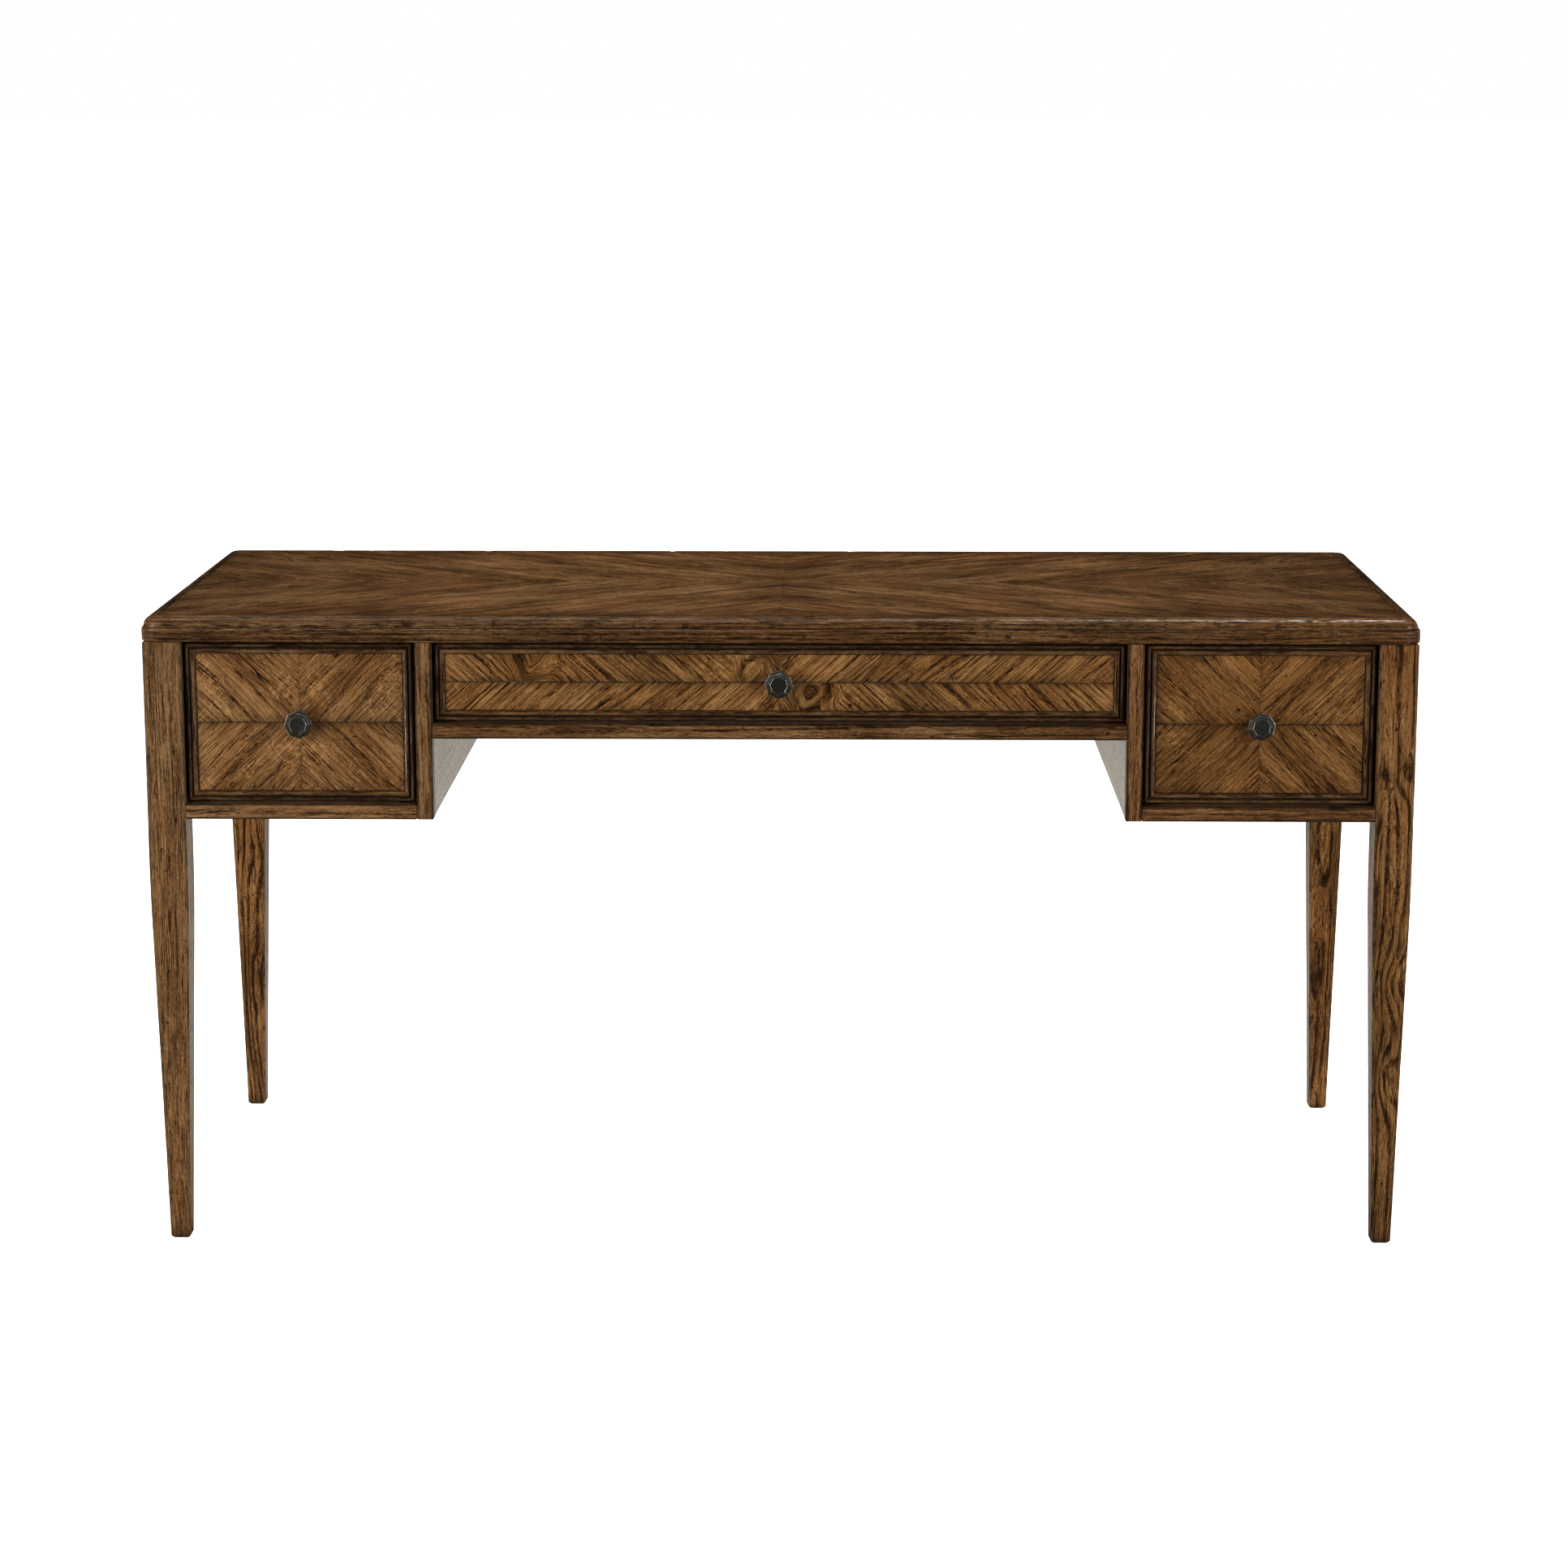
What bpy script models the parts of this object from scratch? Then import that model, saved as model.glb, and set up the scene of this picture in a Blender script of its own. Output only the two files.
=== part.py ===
"""Writing desk with three drawers: an oak top with a moulded edge on four tapered legs.

Metres, +Z up, -Y is the front. The origin lies on the floor under the middle of the desk, knobs included.
Each object is one piece of the desk. The pieces of a drawer hang on an empty on that drawer's slide axis.
"""

import math

import bmesh
import bpy
from mathutils import Matrix, Vector

# Overall size
WIDTH = 1.524  # of the top, along X
TOP_DEPTH = 0.635  # of the top, along Y
HEIGHT = 0.775
KNOB_BEYOND_TOP = 0.009  # the knobs stand this far in front of the top
GAP = 0.0003  # left between two pieces that touch
EASE = 0.0011  # rounding on the edges of solid wood

# Top
TOP_THICKNESS = 0.030
TOP_OVERHANG = 0.003  # beyond the legs, on every side
CORNER_RADIUS = 0.022  # of the top, seen from above
EDGE_WIDTH = 0.020  # of the mitred moulding round the top
EDGE_BAND = 0.016  # upright face below the ovolo
QUIRK = 0.0022  # ledge between that face and the ovolo
QUIRK_RISE = 0.0008
OVOLO_END = 0.0165  # the ovolo reaches the top this far in
GROOVE = 0.0010  # chamfer on both sides of the line round the field
CORNER_STEPS = 6
OVOLO_STEPS = 8

# Legs
LEG = 0.046  # square, above the taper
LEG_OUTER_TAPER = 0.0095  # taken off the outer faces by the floor
LEG_INNER_TAPER = 0.0130  # taken off the inner faces
TAPER_TOP = 0.480
TAPER_BLEND = 0.080  # height over which the taper starts
TAPER_CUTS = 5
LEG_EASE = 0.0014
FOOT_CHAMFER = 0.0030

# Front frame
FRAME_DEPTH = 0.028
SIDE_RAIL_BOTTOM = 0.5295
SIDE_RAIL_TOP = 0.5482
CENTRE_RAIL_BOTTOM = 0.6283
CENTRE_RAIL_TOP = 0.6470
STILE_INNER = 0.4147  # distance from the middle of the desk
STILE_OUTER = 0.4343
STILE_DEPTH = 0.022

# Sides and back
PANEL = 0.018  # thickness
PANEL_RECESS = 0.008  # behind the outer faces of the legs
KNEEHOLE_PANEL_SET = 0.0008  # behind the inner edge of the stile
TOP_RAIL_HEIGHT = 0.020
TOP_RAIL_DEPTH = 0.020

# Drawers
DRAWER_RECESS = 0.008  # from the front of the frame to the crest of the bead
DRAWER_GAP = 0.0030  # beside and above a drawer front
DRAWER_GAP_BELOW = 0.0022
FRONT_THICKNESS = 0.0170
FRONT_EASE = 0.0006
BEAD_WIDTH = 0.0125
BEAD_HEIGHT = 0.0030
BEAD_BASE = 0.0008
BEAD_ROUND = 0.0052  # width of its outer, round part
BEAD_GROOVE = 0.0014
BEAD_ARRIS = 0.0012  # width and, as a share of the height, the drop of the ovolo's outer arris
BEAD_ARRIS_DROP = 0.15
BEAD_STEPS = 4
SIDE_THICKNESS = 0.014
BACK_THICKNESS = 0.015
BOTTOM_THICKNESS = 0.006
BOTTOM_RAISE = 0.012  # from the lower edge of a side to the underside of the bottom
BOTTOM_SET = 0.001  # in from the back of the box
GROOVE_DEPTH = 0.006
GROOVE_OVERRUN = 0.010  # the groove runs out this far behind the box
BOX_LENGTH = 0.486
BOX_INSET = 0.0125  # from the side of an opening to the outer face of a drawer side
BOX_LIFT = 0.0115  # from a rail's top to the lower edge of a drawer side
BOX_TOP = 0.716
TRAVEL = 0.380  # of each drawer

# Runners, kickers and stops
RUNNER_HEIGHT = 0.018
RUNNER_BEARING = 0.014  # width under the drawer side
RUNNER_UPSTAND = 0.020
RUNNER_CLEARANCE = 0.0010  # beside the drawer side
RUNNER_EASE = 0.0008
KICKER_WIDTH = 0.030
KICKER_BOTTOM = 0.720
STOP_LENGTH = 0.030
STOP_DROP = 0.015

# Knobs
KNOB_RADIUS = 0.0172  # to a corner of the octagon
KNOB_SIDES = 8
KNOB_TWISTS = {"left_drawer": 4, "centre_drawer": -6, "right_drawer": 11}  # degrees
KNOB_BORE = 0.0024
KNOB_BORE_DEPTH = 0.011
BORE_OVERRUN = 0.004  # past the back of the drawer front
SCREW_RADIUS = 0.0020
SCREW_HEAD_RADIUS = 0.0042
SCREW_HEAD = 0.0026
SCREW_REACH = 0.010  # into the knob
SCREW_POINT = 0.0008
SCREW_STEPS = 16

# Worked out from the sizes above
UNDERSIDE = HEIGHT - TOP_THICKNESS
TOP_Y = KNOB_BEYOND_TOP / 2
FRAME_FRONT = TOP_Y - TOP_DEPTH / 2 + TOP_OVERHANG
FRAME_BACK = TOP_Y + TOP_DEPTH / 2 - TOP_OVERHANG
LEG_OUTER_X = WIDTH / 2 - TOP_OVERHANG
LEG_INNER_X = LEG_OUTER_X - LEG
BEAD_CREST = FRAME_FRONT + DRAWER_RECESS
BEAD_BACK = BEAD_CREST + BEAD_HEIGHT
FIELD = BEAD_BACK + GAP
FRONT_BACK = FIELD + FRONT_THICKNESS
BEHIND_FRONT = FRONT_BACK + GAP
BACK_OUTER = FRAME_BACK - PANEL_RECESS
BACK_INNER = BACK_OUTER - PANEL
KNEEHOLE_INNER = STILE_INNER + KNEEHOLE_PANEL_SET
KNEEHOLE_OUTER = KNEEHOLE_INNER + PANEL
KNOB_TIP = TOP_Y - TOP_DEPTH / 2 - KNOB_BEYOND_TOP
KNOB_LENGTH = FIELD - GAP - KNOB_TIP

# name, colour, roughness, metallic
OAK = ("oak", (0.150, 0.078, 0.036), 0.45, 0.0)
VENEER = ("oak_veneer", (0.180, 0.094, 0.042), 0.42, 0.0)
DRAWER_WOOD = ("drawer_wood", (0.420, 0.290, 0.170), 0.60, 0.0)
BRONZE = ("knob_bronze", (0.085, 0.072, 0.058), 0.38, 1.0)
STEEL = ("screw_steel", (0.480, 0.470, 0.450), 0.35, 1.0)


def clear_scene():
    for obj in list(bpy.data.objects):
        bpy.data.objects.remove(obj, do_unlink=True)


def new_collection(name):
    made = bpy.data.collections.new(name)
    bpy.context.scene.collection.children.link(made)
    return made


def material(spec):
    name, colour, roughness, metallic = spec
    made = bpy.data.materials.get(name)
    if made:
        return made
    made = bpy.data.materials.new(name)
    made.use_nodes = True
    shader = made.node_tree.nodes["Principled BSDF"]
    shader.inputs["Base Color"].default_value = (*colour, 1.0)
    shader.inputs["Roughness"].default_value = roughness
    shader.inputs["Metallic"].default_value = metallic
    return made


def add_object(name, mesh, spec, parent=None, place=Matrix()):
    """Links a mesh as a piece of the desk. `place` is its matrix in the world."""
    obj = bpy.data.objects.new(name, mesh)
    if spec:
        mesh.materials.append(material(spec))
        DESK.objects.link(obj)
    else:
        CUTTERS.objects.link(obj)
        obj.hide_render = True
        obj.display_type = "WIRE"
    if parent:
        obj.parent = parent
        place = parent.matrix_world.inverted() @ place
    obj.matrix_basis = place
    return obj


def mesh_from(bm, name):
    bmesh.ops.recalc_face_normals(bm, faces=bm.faces)
    mesh = bpy.data.meshes.new(name)
    bm.to_mesh(mesh)
    bm.free()
    return mesh


def ease(obj, width=EASE, segments=2):
    """Rounds every edge sharper than 40 degrees."""
    bevel = obj.modifiers.new("eased_edges", "BEVEL")
    bevel.width = width
    bevel.segments = segments
    bevel.limit_method = "ANGLE"
    bevel.angle_limit = math.radians(40)


def box(name, low, high, spec, parent=None, eased=EASE):
    low, high = Vector(low), Vector(high)
    bm = bmesh.new()
    bmesh.ops.create_cube(bm, size=1.0)
    bmesh.ops.scale(bm, vec=high - low, verts=bm.verts)
    obj = add_object(name, mesh_from(bm, name), spec, parent, Matrix.Translation((low + high) / 2))
    if eased:
        ease(obj, eased)
    return obj


def mirrored_box(name, low, high, side, spec):
    """A box given for the right-hand half of the desk. side -1 puts it in the left-hand half."""
    xs = sorted((side * low[0], side * high[0]))
    return box(name, (xs[0], *low[1:]), (xs[1], *high[1:]), spec)


def prism(name, outline, low, high, spec, turn, eased=EASE):
    """A flat outline in local X and Y, extruded from `low` to `high` along local Z."""
    curve = bpy.data.curves.new(name, "CURVE")
    curve.dimensions = "2D"
    curve.fill_mode = "BOTH"
    curve.extrude = (high - low) / 2
    spline = curve.splines.new("POLY")
    spline.points.add(len(outline) - 1)
    for point, (x, y) in zip(spline.points, outline):
        point.co = (x, y, 0.0, 1.0)
    spline.use_cyclic_u = True
    place = turn @ Matrix.Translation((0, 0, (low + high) / 2))
    obj = add_object(name, curve, spec, None, place)
    weld = obj.modifiers.new("weld_caps", "WELD")
    weld.merge_threshold = 0.00001
    ease(obj, eased)


def cut(obj, cutter):
    """Takes `cutter` out of a piece whose edges are already eased."""
    boolean = obj.modifiers.new("cut_" + cutter.name, "BOOLEAN")
    boolean.operation = "DIFFERENCE"
    boolean.object = cutter


# Top


def edge_profile():
    """(distance in from the edge, height over the underside) round the moulding's section."""
    ovolo_base = EDGE_BAND + QUIRK_RISE
    points = [(0.0012, 0.0), (0.0, 0.0012), (0.0, EDGE_BAND - 0.0007), (0.0007, EDGE_BAND)]
    points += [(QUIRK, EDGE_BAND), (QUIRK, ovolo_base)]
    for step in range(1, OVOLO_STEPS + 1):
        angle = math.pi / 2 * step / OVOLO_STEPS
        inward = QUIRK + (OVOLO_END - QUIRK) * (1 - math.cos(angle))
        points.append((inward, ovolo_base + (TOP_THICKNESS - ovolo_base) * math.sin(angle)))
    points += [(EDGE_WIDTH - GROOVE, TOP_THICKNESS), (EDGE_WIDTH, TOP_THICKNESS - GROOVE)]
    points.append((EDGE_WIDTH, 0.0))
    return points


def last_face(result):
    return [item for item in result["geom_last"] if isinstance(item, bmesh.types.BMFace)]


def edge_moulding(name, length, width, quarter_turns):
    """One mitred side: the section goes round half a corner, along the side and round half a corner.

    It is made along X with its outer face towards -Y, then turned into place round the top.
    """
    trim = GAP / 2 / CORNER_RADIUS
    start = math.radians(225) + trim
    sweep = math.radians(45) - trim
    middle_y = CORNER_RADIUS - width / 2
    left = Vector((CORNER_RADIUS - length / 2, middle_y, 0))
    right = Vector((length / 2 - CORNER_RADIUS, middle_y, 0))
    outward = Vector((math.cos(start), math.sin(start), 0))
    bm = bmesh.new()
    section = []
    for inward, height in edge_profile():
        section.append(bm.verts.new(left + outward * (CORNER_RADIUS - inward) + Vector((0, 0, height))))
    face = bm.faces.new(section)
    swept = bmesh.ops.spin(bm, geom=[face], cent=left, axis=(0, 0, 1), angle=sweep, steps=CORNER_STEPS)
    first_seam = last_face(swept)
    drawn = bmesh.ops.extrude_face_region(bm, geom=first_seam)
    moved = [item for item in drawn["geom"] if isinstance(item, bmesh.types.BMVert)]
    bmesh.ops.translate(bm, vec=right - left, verts=moved)
    second_seam = [item for item in drawn["geom"] if isinstance(item, bmesh.types.BMFace)]
    bmesh.ops.spin(bm, geom=second_seam, cent=right, axis=(0, 0, 1), angle=sweep, steps=CORNER_STEPS)
    bmesh.ops.delete(bm, geom=first_seam + second_seam, context="FACES_ONLY")
    turn = Matrix.Rotation(math.radians(90) * quarter_turns, 4, "Z")
    add_object(name, mesh_from(bm, name), OAK, None, Matrix.Translation((0, TOP_Y, UNDERSIDE)) @ turn)


def make_top():
    half_x = WIDTH / 2 - EDGE_WIDTH - GAP
    half_y = TOP_DEPTH / 2 - EDGE_WIDTH - GAP
    corner_low = (-half_x, TOP_Y - half_y, UNDERSIDE)
    box("top_panel", corner_low, (half_x, TOP_Y + half_y, HEIGHT), VENEER, eased=GROOVE)
    for turns, side in enumerate(("front", "right", "back", "left")):
        along, across = (WIDTH, TOP_DEPTH) if turns % 2 == 0 else (TOP_DEPTH, WIDTH)
        edge_moulding("top_edge_" + side, along, across, turns)


# Legs


def taper_at(height):
    """Share of the full taper at a height: 0 above TAPER_TOP, 1 on the floor, starting smoothly."""
    slope_end = TAPER_TOP - TAPER_BLEND
    full = slope_end + TAPER_BLEND / 2
    if height >= TAPER_TOP:
        return 0.0
    if height <= slope_end:
        return (full - height) / full
    return (TAPER_TOP - height) ** 2 / (2 * TAPER_BLEND) / full


def make_leg(name, side_x, side_y):
    """A square tapered leg with a chamfered foot. side_x and side_y point to its outer corner."""
    bm = bmesh.new()
    bmesh.ops.create_cube(bm, size=1.0)
    top = UNDERSIDE - GAP
    bmesh.ops.scale(bm, vec=(LEG, LEG, top), verts=bm.verts)
    bmesh.ops.translate(bm, vec=(0, 0, top / 2), verts=bm.verts)
    heights = [TAPER_TOP - TAPER_BLEND * step / (TAPER_CUTS - 1) for step in range(TAPER_CUTS)]
    for height in heights + [FOOT_CHAMFER]:
        everything = list(bm.verts) + list(bm.edges) + list(bm.faces)
        bmesh.ops.bisect_plane(bm, geom=everything, plane_co=(0, 0, height), plane_no=(0, 0, 1))
    for vert in bm.verts:
        share = taper_at(vert.co.z)
        chamfer = max(0.0, FOOT_CHAMFER - vert.co.z)
        for axis, side in ((0, side_x), (1, side_y)):
            outer = vert.co[axis] * side > 0
            taken = share * (LEG_OUTER_TAPER if outer else LEG_INNER_TAPER) + chamfer
            vert.co[axis] -= math.copysign(taken, vert.co[axis])
    middle_y = FRAME_BACK - LEG / 2 if side_y > 0 else FRAME_FRONT + LEG / 2
    middle_x = side_x * (LEG_OUTER_X - LEG / 2)
    leg = add_object(name, mesh_from(bm, name), OAK, None, Matrix.Translation((middle_x, middle_y, 0)))
    ease(leg, LEG_EASE)


def make_legs():
    for front_back, side_y in (("front", -1), ("back", 1)):
        for left_right, side_x in SIDES:
            make_leg(f"leg_{front_back}_{left_right}", side_x, side_y)


# Frame, sides and back


def make_front_frame():
    depth_end = FRAME_FRONT + FRAME_DEPTH
    reach = STILE_INNER - GAP
    centre_low = (-reach, FRAME_FRONT, CENTRE_RAIL_BOTTOM)
    box("centre_front_rail", centre_low, (reach, depth_end, CENTRE_RAIL_TOP), OAK)
    for name, side in SIDES:
        rail_low = (STILE_OUTER + GAP, FRAME_FRONT, SIDE_RAIL_BOTTOM)
        rail_high = (LEG_INNER_X - GAP, depth_end, SIDE_RAIL_TOP)
        mirrored_box(name + "_front_rail", rail_low, rail_high, side, OAK)
        stile_low = (STILE_INNER, FRAME_FRONT, SIDE_RAIL_BOTTOM)
        stile_high = (STILE_OUTER, FRAME_FRONT + STILE_DEPTH, UNDERSIDE - GAP)
        mirrored_box(name + "_stile", stile_low, stile_high, side, OAK)
    rail_low = (GAP - LEG_INNER_X, BEHIND_FRONT, UNDERSIDE - TOP_RAIL_HEIGHT)
    rail_high = (LEG_INNER_X - GAP, BEHIND_FRONT + TOP_RAIL_DEPTH, UNDERSIDE - GAP)
    box("front_top_rail", rail_low, rail_high, DRAWER_WOOD)


def make_kneehole_panel(name, side):
    """The inner wall of a pedestal, notched round the top rail. Its outline is drawn in Y and Z."""
    front = FRAME_FRONT + STILE_DEPTH + GAP
    notch_back = BEHIND_FRONT + TOP_RAIL_DEPTH + GAP
    notch_bottom = UNDERSIDE - TOP_RAIL_HEIGHT - GAP
    top = UNDERSIDE - GAP
    outline = [(front, SIDE_RAIL_BOTTOM), (BACK_OUTER, SIDE_RAIL_BOTTOM), (BACK_OUTER, top)]
    outline += [(notch_back, top), (notch_back, notch_bottom), (front, notch_bottom)]
    low, high = sorted((side * KNEEHOLE_INNER, side * KNEEHOLE_OUTER))
    upright = Matrix(((0, 0, 1, 0), (1, 0, 0, 0), (0, 1, 0, 0), (0, 0, 0, 1)))
    prism(name, outline, low, high, OAK, upright)


def make_sides_and_back():
    top = UNDERSIDE - GAP
    front_y = FRAME_FRONT + LEG + GAP
    back_y = FRAME_BACK - LEG - GAP
    outer_x = LEG_OUTER_X - PANEL_RECESS
    for name, side in SIDES:
        low = (outer_x - PANEL, front_y, SIDE_RAIL_BOTTOM)
        mirrored_box(name + "_side_panel", low, (outer_x, back_y, top), side, OAK)
        make_kneehole_panel(name + "_kneehole_panel", side)
        low = (KNEEHOLE_OUTER + GAP, BACK_INNER, SIDE_RAIL_BOTTOM)
        mirrored_box(name + "_back_panel", low, (LEG_INNER_X - GAP, BACK_OUTER, top), side, OAK)
    reach = KNEEHOLE_INNER - GAP
    box("centre_back_panel", (-reach, BACK_INNER, CENTRE_RAIL_BOTTOM), (reach, BACK_OUTER, top), OAK)


# Drawers


def bead_profile():
    """(step inward, step in height) that the bead's face takes: a round, a groove, then an ovolo."""
    crest = BEAD_HEIGHT - BEAD_BASE
    points = [(0.0, BEAD_BASE)]
    for step in range(1, 2 * BEAD_STEPS):
        angle = math.pi * step / (2 * BEAD_STEPS)
        points.append((BEAD_ROUND * (1 - math.cos(angle)) / 2, BEAD_BASE + crest * math.sin(angle)))
    groove_end = BEAD_ROUND + BEAD_GROOVE
    points += [(BEAD_ROUND, BEAD_BASE), (groove_end, BEAD_BASE)]
    points.append((groove_end + BEAD_ARRIS / 4, BEAD_HEIGHT * (1 - BEAD_ARRIS_DROP)))
    ovolo_start = groove_end + BEAD_ARRIS
    low_end = BEAD_BASE / 2
    for step in range(BEAD_STEPS + 1):
        angle = math.pi / 2 * step / BEAD_STEPS
        across = ovolo_start + (BEAD_WIDTH - ovolo_start) * math.sin(angle)
        points.append((across, low_end + (BEAD_HEIGHT - low_end) * math.cos(angle)))
    return [(b[0] - a[0], b[1] - a[1]) for a, b in zip(points, points[1:])]


def face_towards(bm, direction):
    """The face that points most nearly that way and, of those, the one furthest that way."""
    return max(bm.faces, key=lambda f: (f.normal.dot(direction), f.calc_center_median().dot(direction)))


def make_bead(name, low_x, high_x, low_z, high_z, parent):
    """The moulding round a drawer front: a plate whose face is inset step by step, then opened."""
    bm = bmesh.new()
    bmesh.ops.create_cube(bm, size=1.0)
    bmesh.ops.scale(bm, vec=(high_x - low_x, BEAD_BASE, high_z - low_z), verts=bm.verts)
    forward = Vector((0, -1, 0))
    front = face_towards(bm, forward)
    back = face_towards(bm, -forward)
    for inward, rise in bead_profile():
        bmesh.ops.inset_region(bm, faces=[front], thickness=inward, depth=rise, use_even_offset=True)
    bmesh.ops.inset_region(bm, faces=[back], thickness=BEAD_WIDTH, depth=0.0, use_even_offset=True)
    rims = list(front.edges) + list(back.edges)
    bmesh.ops.delete(bm, geom=[front, back], context="FACES_ONLY")
    bmesh.ops.bridge_loops(bm, edges=rims)
    middle = ((low_x + high_x) / 2, BEAD_BACK - BEAD_BASE / 2, (low_z + high_z) / 2)
    add_object(name, mesh_from(bm, name), OAK, parent, Matrix.Translation(middle))


def knob_profile():
    """(radius, height over the drawer front) down the outer side, from the flat middle to the foot."""
    shares = ((0.54, 0.955), (0.58, 1.000), (0.64, 1.000), (0.69, 0.900), (0.74, 0.893), (0.79, 0.893))
    shares += ((0.90, 0.785), (1.00, 0.745), (1.00, 0.610), (0.90, 0.560), (0.62, 0.470))
    shares += ((0.50, 0.360), (0.48, 0.220), (0.60, 0.120), (0.74, 0.090), (0.74, 0.0))
    outside = [(r * KNOB_RADIUS, h * KNOB_LENGTH) for r, h in shares]
    return [(0.0, shares[0][1] * KNOB_LENGTH)] + outside + [(0.0, 0.0)]


def turned(name, profile, steps, spec, parent, place):
    """A profile of (radius, height) pairs, top to bottom, turned about local Z."""
    mesh = bpy.data.meshes.new(name)
    points = [(radius, 0.0, height) for radius, height in profile]
    mesh.from_pydata(points, [(i, i + 1) for i in range(len(points) - 1)], [])
    obj = add_object(name, mesh, spec, parent, place)
    screw = obj.modifiers.new("turned", "SCREW")
    screw.steps = steps
    screw.render_steps = steps
    screw.use_merge_vertices = True
    screw.merge_threshold = 0.00001
    screw.use_smooth_shade = False
    return obj


def facing_front(x, y, z, twist=0.0):
    """Local Z turned to -Y at a point, after a twist about it."""
    upright = Matrix.Rotation(math.radians(90), 4, "X") @ Matrix.Rotation(twist, 4, "Z")
    return Matrix.Translation((x, y, z)) @ upright


def round_cutter(name, x, z, radius, front_y, back_y, parent):
    bm = bmesh.new()
    length = back_y - front_y
    bmesh.ops.create_cone(
        bm, cap_ends=True, segments=SCREW_STEPS, radius1=radius, radius2=radius, depth=length
    )
    place = facing_front(x, (front_y + back_y) / 2, z)
    return add_object(name, mesh_from(bm, name), None, parent, place)


def screw_profile():
    """(radius, height) from the point of the screw to the face of its head."""
    tip = FIELD - GAP - SCREW_REACH
    length = FRONT_BACK + GAP + SCREW_HEAD - tip
    head = SCREW_HEAD_RADIUS
    return [
        (0.0, length),
        (SCREW_RADIUS * 0.6, length),
        (SCREW_RADIUS, length - SCREW_POINT),
        (SCREW_RADIUS, SCREW_HEAD),
        (head, SCREW_HEAD),
        (head * 0.92, SCREW_HEAD * 0.4),
        (head * 0.55, 0.0),
        (0.0, 0.0),
    ]


def make_knob(drawer, x, z, front, parent):
    """A knob on the bead's seat, and the screw that holds it from inside the drawer."""
    seat = FIELD - GAP
    place = facing_front(x, seat, z, math.radians(KNOB_TWISTS[drawer]))
    knob = turned(drawer + "_knob", knob_profile(), KNOB_SIDES, BRONZE, parent, place)
    bore_front = seat - KNOB_BORE_DEPTH
    bore_back = FRONT_BACK + BORE_OVERRUN
    bore = round_cutter(drawer + "_knob_bore", x, z, KNOB_BORE, bore_front, bore_back, parent)
    cut(knob, bore)
    cut(front, bore)
    head_place = facing_front(x, FRONT_BACK + GAP + SCREW_HEAD, z)
    turned(drawer + "_knob_screw", screw_profile(), SCREW_STEPS, STEEL, parent, head_place)


def make_slide(drawer, x, z):
    """The empty that a drawer's pieces hang on. It slides along -Y."""
    slide = bpy.data.objects.new(drawer + "_slide", None)
    slide.location = (x, BEAD_CREST, z)
    DESK.objects.link(slide)
    bpy.context.view_layer.update()
    return slide


def make_box(drawer, low_x, high_x, bottom, slide):
    """Sides, back and bottom. Returns the sides and the cutter for the groove that the bottom sits in."""
    end = BEHIND_FRONT + BOX_LENGTH
    inner_low, inner_high = low_x + SIDE_THICKNESS, high_x - SIDE_THICKNESS
    sides = []
    for name, start in (("left", low_x), ("right", inner_high)):
        low = (start, BEHIND_FRONT, bottom)
        high = (start + SIDE_THICKNESS, end, BOX_TOP)
        sides.append(box(f"{drawer}_{name}_side", low, high, DRAWER_WOOD, slide))
    leaf_z = bottom + BOTTOM_RAISE
    leaf_low = Vector((inner_low - GROOVE_DEPTH, FRONT_BACK - GROOVE_DEPTH, leaf_z))
    leaf_high = Vector((inner_high + GROOVE_DEPTH, end - BOTTOM_SET, leaf_z + BOTTOM_THICKNESS))
    box(drawer + "_bottom", leaf_low, leaf_high, DRAWER_WOOD, slide, 0.0)
    margin = Vector((GAP, GAP, GAP))
    groove_high = leaf_high + margin + Vector((0, GROOVE_OVERRUN, 0))
    groove = box(drawer + "_groove", leaf_low - margin, groove_high, None, slide, 0.0)
    back_low = (inner_low + GAP, end - BACK_THICKNESS, leaf_z + BOTTOM_THICKNESS + GAP)
    box(drawer + "_back", back_low, (inner_high - GAP, end, BOX_TOP), DRAWER_WOOD, slide)
    return sides, groove


def make_drawer(drawer, low_x, high_x, rail_top):
    """A drawer for the opening from low_x to high_x over a rail."""
    low = Vector((low_x + DRAWER_GAP, FIELD, rail_top + DRAWER_GAP_BELOW))
    high = Vector((high_x - DRAWER_GAP, FRONT_BACK, UNDERSIDE - DRAWER_GAP))
    middle = (low + high) / 2
    slide = make_slide(drawer, middle.x, middle.z)
    front = box(drawer + "_front", low, high, VENEER, slide, FRONT_EASE)
    make_bead(drawer + "_bead", low.x, high.x, low.z, high.z, slide)
    sides, groove = make_box(drawer, low_x + BOX_INSET, high_x - BOX_INSET, rail_top + BOX_LIFT, slide)
    for piece in [front] + sides:
        cut(piece, groove)
    make_knob(drawer, middle.x, middle.z, front, slide)


# Runners, kickers and stops


def make_runner(name, wall_x, box_x, rail_top):
    """An L-section runner from a wall at wall_x to under a drawer side whose outer face is at box_x."""
    toward = math.copysign(1, box_x - wall_x)
    seat = rail_top + BOX_LIFT - GAP
    base = seat - RUNNER_HEIGHT
    guide_x = box_x - toward * RUNNER_CLEARANCE
    bearing_x = box_x + toward * RUNNER_BEARING
    outline = [(wall_x, base), (bearing_x, base), (bearing_x, seat), (guide_x, seat)]
    outline += [(guide_x, seat + RUNNER_UPSTAND), (wall_x, seat + RUNNER_UPSTAND)]
    forward = Matrix.Rotation(math.radians(90), 4, "X")
    prism(name, outline, -(BACK_INNER - GAP), -BEHIND_FRONT, DRAWER_WOOD, forward, RUNNER_EASE)


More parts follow.
